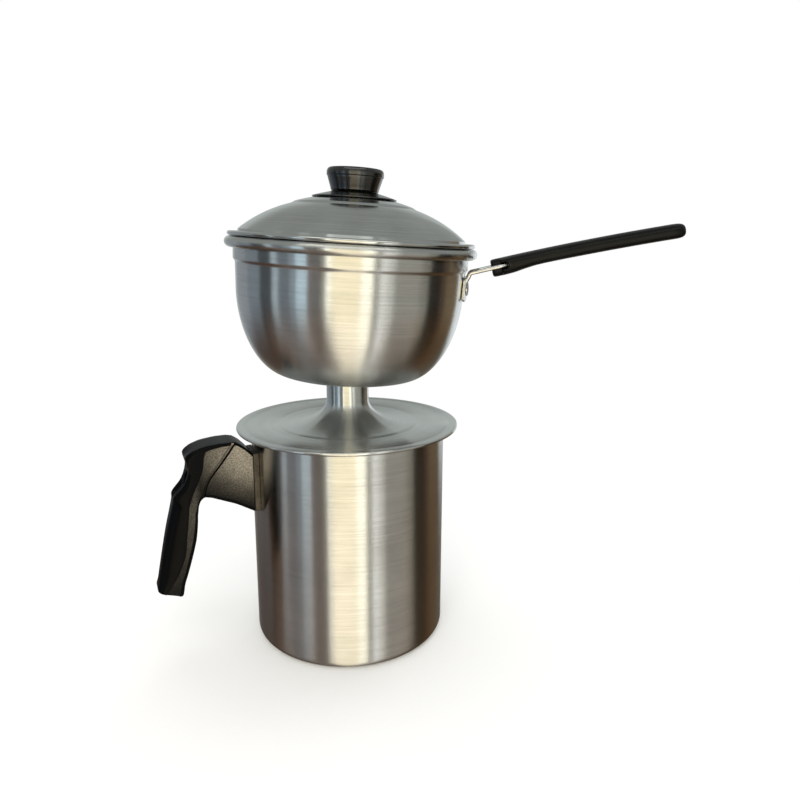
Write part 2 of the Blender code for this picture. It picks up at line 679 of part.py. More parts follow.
def make_grid(leaning):
    """The perforated disc that holds the meal, resting on the bowl's round wall."""
    low, high = GRID_HEIGHT, GRID_HEIGHT + GRID_THICKNESS
    under = bowl_inside_radius(low) - GAP
    over = bowl_inside_radius(high) - GAP
    outline = [(0.0, high), (over, high), (under, low), (0.0, low)]
    grid = turned("steam_grid", outline, ALUMINIUM, parent=leaning)
    shape = bmesh.new()
    places = [(0.0, 0.0)]
    for ring in range(1, GRID_RINGS + 1):
        for i in range(6 * ring):
            angle = math.tau * i / (6 * ring)
            ring_radius = ring * GRID_RING_STEP
            places.append((ring_radius * math.cos(angle), ring_radius * math.sin(angle)))
    for x, y in places:
        bmesh.ops.create_cone(
            shape, cap_ends=True, segments=8, radius1=GRID_HOLE_RADIUS, radius2=GRID_HOLE_RADIUS,
            depth=4 * GRID_THICKNESS, matrix=Matrix.Translation((x, y, (low + high) / 2)),
        )
    mesh = bpy.data.meshes.new("grid_holes")
    shape.to_mesh(mesh)
    shape.free()
    cut(grid, add_cutter("grid_holes", mesh, leaning))


# Handle of the bowl

def frame_plate_top():
    """Height of the top of the handle's plate above the bowl's bottom."""
    return bowl_step_height() - FRAME_PLATE_SETBACK


def handle_point(along, across=0.0, above=0.0):
    """A place measured along the handle's gently arched middle line, across it and above it."""
    bend = (HANDLE_END_RISE - HANDLE_START_RISE) / HANDLE_LENGTH
    rise = HANDLE_START_RISE + bend * along
    out = bowl_side_radius() + WIRE_RADIUS + (math.sin(rise) - math.sin(HANDLE_START_RISE)) / bend
    start = frame_plate_top() + HANDLE_LINE_RISE
    up = start - (math.cos(rise) - math.cos(HANDLE_START_RISE)) / bend
    return Vector((out - above * math.sin(rise), across, up + above * math.cos(rise)))


def frame_leg(side):
    """Points of one wire leg, from the handle plate to the far end of the grip's tunnel."""
    band = math.sqrt((bowl_side_radius() + BOWL_STEP) ** 2 - WIRE_SPREAD**2)
    upright = band + WIRE_RADIUS + WIRE_STANDOFF
    plate = math.sqrt((bowl_side_radius() + GAP + FRAME_PLATE_THICKNESS / 2) ** 2 - WIRE_SPREAD**2)
    corner = handle_point(upright + WIRE_BEND_RADIUS - handle_point(0.0).x)
    bend_centre = (upright + WIRE_BEND_RADIUS, corner.z - WIRE_BEND_RADIUS)
    bend = arc(bend_centre, WIRE_BEND_RADIUS, 180, 105, 3)
    foot = corner.z - WIRE_LEG_DROP
    profile = [(plate, foot), (plate + (upright - plate) / 3, foot + WIRE_LEG_DROP / 3)] + bend
    points = [Vector((out, side * WIRE_SPREAD, up)) for out, up in profile]
    shoulder = GRIP_START + GRIP_NOSE_LENGTH
    far = GRIP_START + WIRE_DEPTH_IN_GRIP - WIRE_GRIP_SPREAD
    spreads = [
        (GRIP_START / 2, WIRE_SPREAD),
        (shoulder - WIRE_RADIUS, WIRE_SPREAD),
        (shoulder + 2 * WIRE_RADIUS, (WIRE_SPREAD + WIRE_GRIP_SPREAD) / 2),
        (shoulder + 6 * WIRE_RADIUS, WIRE_GRIP_SPREAD),
        ((shoulder + far) / 2, WIRE_GRIP_SPREAD),
        (far, WIRE_GRIP_SPREAD),
    ]
    return points + [handle_point(along, side * across) for along, across in spreads]


def frame_points():
    """Points of the whole wire: down one leg, round the hairpin inside the grip, and back."""
    far = GRIP_START + WIRE_DEPTH_IN_GRIP - WIRE_GRIP_SPREAD
    hairpin = arc((far, 0.0), WIRE_GRIP_SPREAD, 90, -90, 6)[1:-1]
    middle = [handle_point(along, across) for along, across in hairpin]
    return frame_leg(1) + middle + frame_leg(-1)[::-1]


def plate_rivet_angle():
    """Angle of a plate rivet from the handle's middle line, round the bowl."""
    return PLATE_RIVET_SPREAD / bowl_side_radius()


def make_bowl_handle_frame(bowl, handle_turn):
    """The plated frame: a wire hairpin welded to a plate that follows the bowl's wall."""
    radius = bowl_side_radius() + GAP
    half_angle = FRAME_PLATE_HALF_WIDTH / radius
    shape = bmesh.new()
    bmesh.ops.create_grid(shape, x_segments=8, y_segments=1, size=1.0)
    half_height = FRAME_PLATE_HEIGHT / 2
    middle = frame_plate_top() - half_height
    for vertex in shape.verts:
        angle, height = vertex.co.x * half_angle, middle + vertex.co.y * half_height
        vertex.co = (radius * math.cos(angle), radius * math.sin(angle), height)
    bmesh.ops.recalc_face_normals(shape, faces=shape.faces)
    bmesh.ops.solidify(shape, geom=shape.faces[:], thickness=-FRAME_PLATE_THICKNESS)
    bmesh.ops.recalc_face_normals(shape, faces=shape.faces)
    mesh = bpy.data.meshes.new("bowl_handle_frame")
    shape.to_mesh(mesh)
    shape.free()
    frame = add_piece("bowl_handle_frame", mesh, PLATED_STEEL, handle_turn)
    wire = add_cutter("wire_hairpin", tube_mesh("wire_hairpin", frame_points(), WIRE_RADIUS), handle_turn)
    cut(frame, wire, operation="UNION")
    outer_seat = radius + FRAME_PLATE_THICKNESS + GAP
    inner_wall = bowl_side_radius() - BOWL_WALL_TAPER - BOWL_WALL
    inner_seat = inner_wall * math.cos(math.pi / LARGE_TURN) - GAP
    for name, side in (("near", 1), ("far", -1)):
        angle = side * plate_rivet_angle()
        outwards = Vector((math.cos(angle), math.sin(angle), 0.0))
        raised = Vector((0.0, 0.0, middle))
        hole = rod_mesh(
            f"{name}_plate_hole", PLATE_RIVET_RADIUS + SCREW_CLEARANCE,
            outwards * inner_seat * 0.8 + raised, outwards * outer_seat * 1.1 + raised,
        )
        hole_cutter = add_cutter(f"{name}_plate_hole", hole, handle_turn)
        cut(frame, hole_cutter)
        cut(bowl, hole_cutter)
        make_plate_rivet(f"plate_rivet_{name}", outwards, raised, inner_seat, outer_seat, handle_turn)


def make_plate_rivet(name, outwards, raised, inner_seat, outer_seat, handle_turn):
    """A rivet with a domed head outside the plate and a flatter one inside the bowl."""
    length = outer_seat - inner_seat
    head, height = PLATE_RIVET_HEAD_RADIUS, PLATE_RIVET_HEAD_RADIUS * 0.29
    outline = [(0.0, length + height)] + arc((0.0, length), (head, height), 60, 0, 2)
    outline += [(PLATE_RIVET_RADIUS, length), (PLATE_RIVET_RADIUS, 0.0), (head, 0.0)]
    outline += [(head * 0.7, -height / 2), (0.0, -height / 2)]
    rivet = turned(name, outline, PLATED_STEEL, steps=FASTENER_TURN, parent=handle_turn)
    rivet.location = outwards * inner_seat + raised
    rivet.rotation_euler = outwards.to_track_quat("Z", "Y").to_euler()


def grip_ring(along, half_width, above, below):
    """One ring of the grip, an oval flattened a little on its sides."""
    ring = []
    for i in range(14):
        angle = math.tau * (i + 0.5) / 14
        wide, tall = math.cos(angle), math.sin(angle)
        across = half_width * math.copysign(abs(wide) ** 0.75, wide)
        raised = (above if tall > 0 else below) * math.copysign(abs(tall) ** 0.75, tall)
        ring.append(handle_point(along, across, raised))
    return ring


def make_grip(handle_turn):
    """The moulded grip, hollowed for the wire, with a pocket at each side where it goes in."""
    start, end = GRIP_START, HANDLE_LENGTH
    shoulder = start + GRIP_NOSE_LENGTH
    nose, width, tip = GRIP_NOSE_HALF_WIDTH, GRIP_HALF_WIDTH, GRIP_END_HALF_WIDTH
    top, bottom = GRIP_TOP, GRIP_BOTTOM
    chin = bottom + GRIP_CHIN
    sections = [
        (start, nose * 0.86, top * 0.84, chin * 0.82),
        (start + GRIP_NOSE_LENGTH / 5, nose, top, chin * 0.98),
        (shoulder, nose, top, chin),
        (shoulder + GRIP_SHOULDER_LENGTH, width, top, chin),
        (shoulder + GRIP_CHIN_LENGTH * 0.3, width, top, bottom + GRIP_CHIN * 0.85),
        (shoulder + GRIP_CHIN_LENGTH * 0.6, width, top, bottom + GRIP_CHIN * 0.35),
        (shoulder + GRIP_CHIN_LENGTH, (width * 3 + tip) / 4, top, bottom),
        ((shoulder + end) / 2, (width + tip) / 2, top, bottom),
        (end - GRIP_TIP_LENGTH, tip, top, bottom),
        (end - GRIP_TIP_LENGTH * 0.45, tip * 0.93, top * 0.96, bottom * 0.96),
        (end - GRIP_TIP_LENGTH * 0.15, tip * 0.68, top * 0.72, bottom * 0.72),
        (end, tip * 0.30, top * 0.32, bottom * 0.32),
    ]
    rings = [grip_ring(*section) for section in sections]
    grip = add_piece("bowl_grip", loft_mesh("bowl_grip", rings), GRIP_PLASTIC, handle_turn)
    tunnel_radius = WIRE_RADIUS + WIRE_TUNNEL_CLEARANCE
    points = [point for point in frame_points() if point.x > handle_point(start * 0.4).x]
    tunnel = add_cutter("wire_tunnel", tube_mesh("wire_tunnel", points, tunnel_radius), handle_turn)
    cut(grip, tunnel)
    for name, side in (("near", 1), ("far", -1)):
        shape = bmesh.new()
        bmesh.ops.create_uvsphere(shape, u_segments=12, v_segments=8, radius=1.0)
        size = (POCKET_HALF_LENGTH, POCKET_DEPTH, POCKET_HALF_HEIGHT)
        bmesh.ops.scale(shape, vec=size, verts=shape.verts)
        place = handle_point(shoulder + POCKET_HALF_LENGTH * 0.7, side * width)
        tilt = Matrix.Rotation(-HANDLE_START_RISE, 4, "Y")
        bmesh.ops.transform(shape, matrix=Matrix.Translation(place) @ tilt, verts=shape.verts)
        mesh = bpy.data.meshes.new(f"{name}_pocket")
        shape.to_mesh(mesh)
        shape.free()
        cut(grip, add_cutter(f"{name}_pocket", mesh, handle_turn))


# Lid and knob

def crown_height(radius, sheet=0.0):
    """Height of the lid's raised middle at a radius, or of its underside."""
    ball = LID_CROWN_RADIUS - sheet
    return BOWL_HEIGHT + LID_CROWN_HEIGHT - LID_CROWN_RADIUS + math.sqrt(ball**2 - radius**2)


def lid_ring_radius():
    """Outside radius of the ring that centres the lid in the bowl's mouth."""
    return BOWL_MOUTH_RADIUS - LID_RING_CLEARANCE


def lid_flange_top():
    """Height of the top of the lid's rolled flange above the bowl's bottom."""
    return BOWL_HEIGHT + GAP + 2 * LID_BEAD_RADIUS


def dome_points(sheet, steps=4):
    """Points of the lid's dome, an arc from the raised middle's step out to the locating ring."""
    start = Vector((LID_CROWN_EDGE + LID_STEP_WIDTH, crown_height(LID_CROWN_EDGE) - LID_DOME_DROP))
    end = Vector((lid_ring_radius() - LID_DOME_INSET, lid_flange_top() + LID_DOME_LIFT))
    chord = end - start
    radius = (chord.length_squared / 4 + LID_DOME_BULGE**2) / (2 * LID_DOME_BULGE)
    outwards = Vector((-chord.y, chord.x)).normalized()
    centre = (start + end) / 2 - outwards * (radius - LID_DOME_BULGE)
    first, last = (math.degrees(math.atan2(p.y - centre.y, p.x - centre.x)) for p in (start, end))
    return arc(centre, radius - sheet, first, last, steps)


def make_lid(lid_lean):
    """The lid: raised middle, dome, a ring that drops into the bowl's mouth, and a rolled edge."""
    bore = KNOB_SCREW_RADIUS + SCREW_CLEARANCE
    flange_low, flange_high = BOWL_HEIGHT + GAP, lid_flange_top()
    ring_out = lid_ring_radius()
    ring_in = ring_out - LID_RING_WIDTH
    rim = BOWL_MOUTH_RADIUS + LID_OVERHANG
    ring_low = flange_low - LID_RING_DEPTH
    chamfer = LID_RING_CLEARANCE
    bead_centre = (rim - LID_BEAD_RADIUS, flange_low + LID_BEAD_RADIUS)
    over, under = dome_points(0.0), dome_points(LID_SHEET)
    radii = (bore, LID_CROWN_EDGE * 0.5, LID_CROWN_EDGE * 0.8, LID_CROWN_EDGE)
    outline = [(r, crown_height(r)) for r in radii] + over
    outline += [(over[-1][0] + chamfer, flange_high - LID_BEAD_RADIUS / 4)]
    outline += [(ring_out, flange_high - LID_BEAD_RADIUS / 2)]
    outline += arc(bead_centre, LID_BEAD_RADIUS, 110, -90, 6)
    outline += [(ring_out + chamfer, flange_low), (ring_out, flange_low - chamfer)]
    outline += [(ring_out, ring_low + chamfer), (ring_out - chamfer, ring_low)]
    outline += [(ring_in + chamfer, ring_low), (ring_in, ring_low + chamfer)]
    outline += [(ring_in, under[-1][1] - chamfer)] + under[::-1]
    outline += [(r, crown_height(r, LID_SHEET)) for r in reversed(radii)]
    turned("lid", outline, ALUMINIUM, closed=True, parent=lid_lean)


def collar_top():
    """Height of the guard's collar above the bowl's bottom."""
    return BOWL_HEIGHT + LID_CROWN_HEIGHT + GUARD_COLLAR_HEIGHT


def make_guard(lid_lean):
    """The thin heat guard under the knob, dished to the lid, with a collar for the knob's foot."""
    bore = KNOB_SCREW_RADIUS + SCREW_CLEARANCE
    radii = (bore, GUARD_COLLAR_RADIUS, (GUARD_RADIUS + GUARD_COLLAR_RADIUS) / 2, GUARD_RADIUS)
    low = [(r, crown_height(r) + GAP) for r in radii]
    collar, top = GUARD_COLLAR_RADIUS, collar_top()
    brim = crown_height(collar) + GAP + 2.2 * GUARD_THICKNESS
    outline = [(bore, top), (collar - GUARD_THICKNESS / 2, top), (collar, top - GUARD_THICKNESS / 2)]
    outline += [(collar, brim), (radii[2], low[2][1] + 1.5 * GUARD_THICKNESS)]
    outline += [(GUARD_RADIUS - GUARD_THICKNESS / 2, low[3][1] + GUARD_THICKNESS)]
    outline += [(GUARD_RADIUS, low[3][1] + GUARD_THICKNESS / 2)] + low[::-1]
    turned("knob_guard", outline, GLOSS_PHENOLIC, closed=True, steps=SMALL_TURN, parent=lid_lean)


def make_knob(lid_lean):
    """The knob, bored from below for its threaded insert, with the insert, screw and washer."""
    low = collar_top() + GAP
    high = low + KNOB_HEIGHT
    band = high - KNOB_BAND_HEIGHT
    cavity = INSERT_RADIUS + GAP
    cavity_top = low + INSERT_LENGTH + 2 * GAP
    outline = [
        (0.0, high - KNOB_DISH),
        (KNOB_TOP_RADIUS * 0.8, high - KNOB_DISH),
        (KNOB_TOP_RADIUS, high),
        (KNOB_TOP_RADIUS + (KNOB_RADIUS - KNOB_TOP_RADIUS) * 0.7, high - KNOB_BAND_HEIGHT * 0.25),
        (KNOB_RADIUS, high - KNOB_BAND_HEIGHT * 0.6),
        (KNOB_RADIUS, band + KNOB_BAND_HEIGHT * 0.1),
        (KNOB_RADIUS - KNOB_BAND_HEIGHT * 0.1, band),
        (KNOB_FOOT_RADIUS, low + KNOB_DISH),
        (KNOB_FOOT_RADIUS - KNOB_DISH, low),
        (cavity, low),
        (cavity, cavity_top),
        (0.0, cavity_top),
    ]
    turned("lid_knob", outline, GLOSS_PHENOLIC, steps=SMALL_TURN, parent=lid_lean)
    bore = KNOB_SCREW_RADIUS + SCREW_CLEARANCE
    insert_low, insert_high = low + GAP, low + GAP + INSERT_LENGTH
    insert = [
        (bore, insert_high),
        (INSERT_RADIUS, insert_high),
        (INSERT_RADIUS, insert_low),
        (bore, insert_low),
    ]
    turned("knob_insert", insert, BRASS, closed=True, steps=FASTENER_TURN, parent=lid_lean)
    washer_high = crown_height(KNOB_WASHER_RADIUS, LID_SHEET) - GAP
    washer_low = washer_high - KNOB_WASHER_THICKNESS
    rim = KNOB_WASHER_RADIUS
    washer = [(bore, washer_high), (rim, washer_high), (rim, washer_low), (bore, washer_low)]
    turned("knob_washer", washer, PLATED_STEEL, closed=True, steps=FASTENER_TURN, parent=lid_lean)
    headed_pin(
        "knob_screw", PLATED_STEEL, (0, 0, insert_high - GAP), (0, 0, washer_low - GAP),
        KNOB_SCREW_RADIUS, KNOB_SCREW_HEAD_RADIUS, KNOB_SCREW_HEAD_HEIGHT, parent=lid_lean,
    )


def add_empty(name, parent=None):
    """An empty that places the pieces parented to it."""
    empty = bpy.data.objects.new(name, None)
    parts.objects.link(empty)
    empty.parent = parent
    return empty


for old in list(bpy.data.objects):
    bpy.data.objects.remove(old)
parts = collection("couscous_steamer")
cutters = collection("cutters")

leaning = add_empty("bowl_lean")
leaning.matrix_world = Matrix.Translation((0.0, 0.0, bowl_seat())) @ lean_matrix()
handle_turn = add_empty("bowl_handle_turn", leaning)
handle_turn.rotation_euler = (0.0, 0.0, BOWL_HANDLE_TURN)

boiler_jug = make_jug()
make_bracket(boiler_jug)
make_jug_handle()
make_steam_plate()
steamer_bowl = make_bowl(leaning)
make_bowl_washer(leaning)
make_grid(leaning)
make_bowl_handle_frame(steamer_bowl, handle_turn)
make_grip(handle_turn)
make_lid(leaning)
make_guard(leaning)
make_knob(leaning)
bpy.context.view_layer.update()
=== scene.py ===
"""Finished looks of a small couscous steamer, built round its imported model.

Every turned, moulded and bent piece is modelled again with a fine surface where its plain solid
lies, and gets the finish of the real material. Lengths are in metres, +Z is up, the jug stands on
the origin with its handle along -X, and outlines of turned pieces are (radius, height) points.
"""

import logging
import math
from dataclasses import dataclass
from enum import Enum
from functools import partial
from typing import Callable, Iterable, Sequence

import bmesh
import bpy
from mathutils import Matrix, Vector
from mathutils.kdtree import KDTree


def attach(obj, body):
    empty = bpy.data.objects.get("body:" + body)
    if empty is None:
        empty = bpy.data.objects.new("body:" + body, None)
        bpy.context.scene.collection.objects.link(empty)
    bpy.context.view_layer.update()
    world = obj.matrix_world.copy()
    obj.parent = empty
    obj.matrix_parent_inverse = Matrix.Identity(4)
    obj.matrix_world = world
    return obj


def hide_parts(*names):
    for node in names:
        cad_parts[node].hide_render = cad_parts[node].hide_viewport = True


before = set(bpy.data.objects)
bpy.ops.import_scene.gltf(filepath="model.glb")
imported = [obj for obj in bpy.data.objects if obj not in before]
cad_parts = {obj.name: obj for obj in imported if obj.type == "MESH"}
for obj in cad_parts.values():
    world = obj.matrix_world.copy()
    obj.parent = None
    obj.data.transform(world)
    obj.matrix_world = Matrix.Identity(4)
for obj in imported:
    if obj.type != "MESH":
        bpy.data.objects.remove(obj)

log = logging.getLogger("couscous_steamer")

Point = tuple[float, float]
Ring = list[Vector]
Object = bpy.types.Object
Material = bpy.types.Material
Socket = bpy.types.NodeSocket
Adder = Callable[..., Socket]

GAP = 0.0003  # between pieces that touch
ROUND = 144  # facets round the jug, the plate, the bowl and the lid
SMALL_ROUND = 72  # facets round a boss, a bore, the bowl's washer or the heat guard
FASTENER_ROUND = 40  # facets round a rivet, a screw, its washer or its insert
SMOOTH_ANGLE = math.radians(32)
MERGE = 0.000002  # points nearer to each other than this become one
BOWL_LEAN = math.radians(3.3)  # how far the bowl leans on its neck
BOWL_LEAN_TOWARDS = math.radians(-43)  # round +Z from +X
BOWL_LEAN_AXIS = Vector((-math.sin(BOWL_LEAN_TOWARDS), math.cos(BOWL_LEAN_TOWARDS), 0.0))
AS_BUILT = Matrix()  # for a piece that is built where it belongs
AIM = Vector((0.0, 0.0, 0.14))  # what the lamps shine at
COLOUR_MIX = {"output": 2, "data_type": "RGBA"}  # for a Mix node with its colours on inputs 6 and 7


class Boolean(Enum):
    """What a tool does to the piece that it meets."""

    CUT = "DIFFERENCE"
    JOIN = "UNION"


# Colours and nodes

def linear(hex_colour: str) -> tuple[float, float, float, float]:
    """Turn an sRGB hex colour into the linear colour that a shader takes.

    Args:
        hex_colour: Six hex digits after a hash.

    Returns:
        Linear red, green and blue, with an alpha of 1.
    """
    channels = [int(hex_colour[i:i + 2], 16) / 255 for i in (1, 3, 5)]
    made = [c / 12.92 if c <= 0.04045 else ((c + 0.055) / 1.055) ** 2.4 for c in channels]
    return (made[0], made[1], made[2], 1.0)


def add_node(
    tree: bpy.types.NodeTree, kind: str, inputs: dict | None = None, output: int | str = 0,
    **settings: object,
) -> Socket | None:
    """Add a node, set its options, and fill or link its inputs.

    Args:
        tree: The node tree.
        kind: The node's type name after ShaderNode.
        inputs: Values or sockets by the input's name or number.
        output: Name or number of the output that is wanted.
        **settings: The node's own options.

    Returns:
        The wanted output, or nothing where the node has none.
    """
    node = tree.nodes.new("ShaderNode" + kind)
    for name, value in settings.items():
        setattr(node, name, value)
    for key, value in (inputs or {}).items():
        if isinstance(value, Socket):
            tree.links.new(value, node.inputs[key])
        else:
            node.inputs[key].default_value = value
    return node.outputs[output] if node.outputs else None


def empty_tree(owner: Material | bpy.types.World) -> Adder:
    """Clear the nodes of a material or a world.

    Args:
        owner: The material or world.

    Returns:
        The function that adds a node to its tree.
    """
    owner.use_nodes = True
    owner.node_tree.nodes.clear()
    return partial(add_node, owner.node_tree)


# Shares, curves and outlines

def shares(steps: int) -> list[float]:
    """Even shares from 0 to 1."""
    return [i / steps for i in range(steps + 1)]


def quarter(steps: int) -> list[float]:
    """Even angles from 0 to a quarter turn."""
    return [math.pi / 2 * i / steps for i in range(steps + 1)]


def clamp(share: float) -> float:
    """A share kept between 0 and 1."""
    return min(1.0, max(0.0, share))


def eased(share: float) -> float:
    """A share that leaves 0 and reaches 1 softly."""
    return 3 * share**2 - 2 * share**3


def towards(angle: float) -> Vector:
    """The level direction at an angle round +Z from +X."""
    return Vector((math.cos(angle), math.sin(angle), 0.0))


def lean(share: float = 1.0) -> Matrix:
    """Rotation by a share of the bowl's lean on its neck."""
    return Matrix.Rotation(BOWL_LEAN * share, 4, BOWL_LEAN_AXIS)


def turned_to(x: float, z: float, turn: float, axis: str = "Y") -> Matrix:
    """A turn about the origin, then a move along X and Z."""
    return Matrix.Translation((x, 0, z)) @ Matrix.Rotation(turn, 4, axis)


def arc(centre: Point, radius: float | Point, start: float, end: float, steps: int) -> list[Point]:
    """Points along an arc of an outline.

    Args:
        centre: The arc's centre.
        radius: Its radius, or its half width and half height.
        start: First angle in degrees, from the outwards direction.
        end: Last angle in degrees.
        steps: Number of stretches.

    Returns:
        The points, both ends included.
    """
    wide, tall = radius if isinstance(radius, tuple) else (radius, radius)
    angles = [math.radians(start + (end - start) * i / steps) for i in range(steps + 1)]
    return [(centre[0] + wide * math.cos(a), centre[1] + tall * math.sin(a)) for a in angles]


def shank(radius: float, length: float) -> list[Point]:
    """Outline of a round shank that stands on the origin."""
    return [(0.0, 0.0), (radius, 0.0), (radius, length)]


def washer(bore: float, rim: float, low: float, high: float, edge: float) -> list[Point]:
    """Closed outline of a thick ring with its outer edges broken."""
    top, bottom = [(rim - edge, high), (rim, high - edge)], [(rim, low + edge), (rim - edge, low)]
    return [(bore, low), (bore, high), *top, *bottom]


def curve_through(rows: Sequence[Sequence[float]], steps: int) -> list[list[float]]:
    """Rows of numbers along a smooth curve through given rows.

    Args:
        rows: The rows that the curve goes through, all equally long.
        steps: Stretches between two of them.

    Returns:
        The rows, the given ones included.
    """
    last = len(rows) - 1
    made = []
    for i in range(last):
        four = [rows[min(max(j, 0), last)] for j in range(i - 1, i + 3)]
        for t in shares(steps)[:-1]:
            weights = (
                -0.5 * t + t**2 - 0.5 * t**3,
                1 - 2.5 * t**2 + 1.5 * t**3,
                0.5 * t + 2 * t**2 - 1.5 * t**3,
                -0.5 * t**2 + 0.5 * t**3,
            )
            made.append([sum(w * v for w, v in zip(weights, column)) for column in zip(*four)])
    return made + [list(rows[-1])]


def tube_rings(path: Sequence[Vector], radii: Sequence[float], sides: int) -> list[Ring]:
    """Rings of a round tube along a path, carried on from one to the next without twist.

    Args:
        path: Points of the middle line.
        radii: The tube's radius at each point.
        sides: Points of each ring.

    Returns:
        One ring for each point of the path.
    """
    rings = []
    across = Vector((0.0, 1.0, 0.0))
    for i, (place, radius) in enumerate(zip(path, radii)):
        before, after = path[max(i - 1, 0)], path[min(i + 1, len(path) - 1)]
        ahead = (after - before).normalized()
        across = (across - ahead * across.dot(ahead)).normalized()
        up = ahead.cross(across)
        angles = [math.tau * k / sides for k in range(sides)]
        rings.append([place + radius * (math.cos(a) * across + math.sin(a) * up) for a in angles])
    return rings


# Modelling steps, as they are done by hand in edit mode

def start_afresh() -> None:
    """Leave edit mode and deselect everything."""
    if bpy.context.object and bpy.context.object.mode != "OBJECT":
        bpy.ops.object.mode_set(mode="OBJECT")
    bpy.ops.object.select_all(action="DESELECT")


def take_up(piece: Object) -> None:
    """Select one piece alone.

    Args:
        piece: The piece.
    """
    start_afresh()
    bpy.context.view_layer.objects.active = piece
    piece.select_set(True)


def settle(name: str) -> Object:
    """Name the new primitive, and keep its place and size in its mesh.

    Args:
        name: The piece's name.

    Returns:
        The piece.
    """
    piece = bpy.context.object
    piece.name = piece.data.name = name
    bpy.ops.object.transform_apply(location=True, rotation=True, scale=True)
    return piece


def put(piece: Object, place: Matrix) -> None:
    """Move a piece that was built upright to its place, and keep the place in its mesh.

    Args:
        piece: The piece.
        place: The matrix that takes it there.
    """
    take_up(piece)
    piece.matrix_world = place @ piece.matrix_world
    bpy.ops.object.transform_apply(location=True, rotation=True, scale=True)


def shade(piece: Object) -> None:
    """Shade a piece smooth, with its real edges sharp."""
    take_up(piece)
    bpy.ops.object.shade_smooth_by_angle(angle=SMOOTH_ANGLE)


def close_up(piece: Object) -> Object:
    """Turn the normals of the mesh in hand outwards, leave edit mode and shade the piece.

    Args:
        piece: The piece in edit mode.

    Returns:
        The piece.
    """
    bpy.ops.mesh.normals_make_consistent(inside=False)
    bpy.ops.object.mode_set(mode="OBJECT")
    shade(piece)
    return piece


def turned(
    name: str, outline: Sequence[Point], steps: int, closed: bool = False, angle: float = math.tau
) -> Object:
    """Draw an outline by extruding a vertex, then spin it round Z into a piece.

    Args:
        name: The piece's name.
        outline: Radius and height of each point.
        steps: Facets round the piece.
        closed: Whether the outline's end meets its start and leaves a bore.
        angle: How far round it is spun.

    Returns:
        The piece, with its normals outwards.
    """
    points = [Vector((r, 0.0, z)) for r, z in outline]
    if closed:
        points.append(points[0])
    start_afresh()
    bpy.ops.mesh.primitive_plane_add(size=0.001, location=points[0])
    piece = settle(name)
    bpy.ops.object.mode_set(mode="EDIT")
    bpy.ops.mesh.select_mode(type="VERT")
    bpy.ops.mesh.select_all(action="SELECT")
    bpy.ops.mesh.merge(type="CENTER")
    for here, following in zip(points, points[1:]):
        bpy.ops.mesh.extrude_region_move(TRANSFORM_OT_translate={"value": following - here})
    bpy.ops.mesh.select_all(action="SELECT")
    bpy.ops.mesh.remove_doubles(threshold=MERGE)
    bpy.ops.mesh.select_all(action="SELECT")
    bpy.ops.mesh.spin(steps=steps, angle=angle, center=(0, 0, 0), axis=(0, 0, 1))
    bpy.ops.mesh.select_all(action="SELECT")
    bpy.ops.mesh.remove_doubles(threshold=MERGE)
    return close_up(piece)


def lofted(name: str, rings: Sequence[Ring]) -> Object:
    """Fill a first ring and extrude it ring by ring into a closed piece.

    Args:
        name: The piece's name.
        rings: Rings of equally many points, in order.

    Returns:
        The piece, with its normals outwards.
    """
    start_afresh()
    bpy.ops.mesh.primitive_circle_add(vertices=len(rings[0]), radius=0.001, fill_type="NGON")
    piece = settle(name)
    for vertex, place in zip(piece.data.vertices, rings[0]):
        vertex.co = place
    bpy.ops.object.mode_set(mode="EDIT")
    bpy.ops.mesh.select_all(action="SELECT")
    for here, following in zip(rings, rings[1:]):
        bpy.ops.mesh.extrude_region_move(TRANSFORM_OT_translate={"value": (0, 0, 0)})
        mesh = bmesh.from_edit_mesh(piece.data)
        for vertex in [v for v in mesh.verts if v.select]:
            number = min(range(len(here)), key=lambda i: (here[i] - vertex.co).length_squared)
            vertex.co = following[number]
        bmesh.update_edit_mesh(piece.data)
    bpy.ops.mesh.select_all(action="SELECT")
    return close_up(piece)


def rod(name: str, start: Vector, end: Vector, radius: float, sides: int) -> Object:
    """A plain round rod, used to cut bores and to build on.

    Args:
        name: The rod's name.
        start: Middle of its first end.
        end: Middle of its last end.
        radius: Its radius.
        sides: Facets round it.

    Returns:
        The rod, with its place in its mesh.
    """
    start_afresh()
    turn = (end - start).to_track_quat("Z", "Y").to_euler()
    bpy.ops.mesh.primitive_cylinder_add(
        vertices=sides, radius=radius, depth=(end - start).length, location=(start + end) / 2, rotation=turn
    )
    return settle(name)


def disc(name: str, radius: float, height: float, sides: int) -> Object:
    """A level disc round the origin, for the floor or a card.

    Args:
        name: The disc's name.
        radius: Its radius.
        height: Its height.
        sides: Its corners.

    Returns:
        The disc.
    """
    start_afresh()
    where = (0, 0, height)
    bpy.ops.mesh.primitive_circle_add(vertices=sides, radius=radius, fill_type="NGON", location=where)
    return settle(name)


def modify(piece: Object, kind: str, **settings: object) -> None:
    """Give a piece a modifier and apply it.

    Args:
        piece: The piece.
        kind: The modifier's type.
        **settings: Its options.
    """
    take_up(piece)
    modifier = piece.modifiers.new("step", kind)
    for name, value in settings.items():
        setattr(modifier, name, value)
    bpy.ops.object.modifier_apply(modifier=modifier.name)


def combine(piece: Object, tools: Iterable[Object], action: Boolean) -> None:
    """Cut a piece by tools, or join them to it, and remove the tools.

    Args:
        piece: The piece that stays.
        tools: The objects that it meets.
        action: Whether they cut it or are joined to it.
    """
    for tool in tools:
        modify(piece, "BOOLEAN", operation=action.value, object=tool)
        bpy.data.objects.remove(tool)
    shade(piece)


def reshape(piece: Object, move: Callable[[Vector], Vector]) -> None:
    """Move each point of a piece by a rule, and shade it again.

    Args:
        piece: The piece.
        move: Gives a point's new place.
    """
    for vertex in piece.data.vertices:
        vertex.co = move(vertex.co)
    piece.data.update()
    shade(piece)


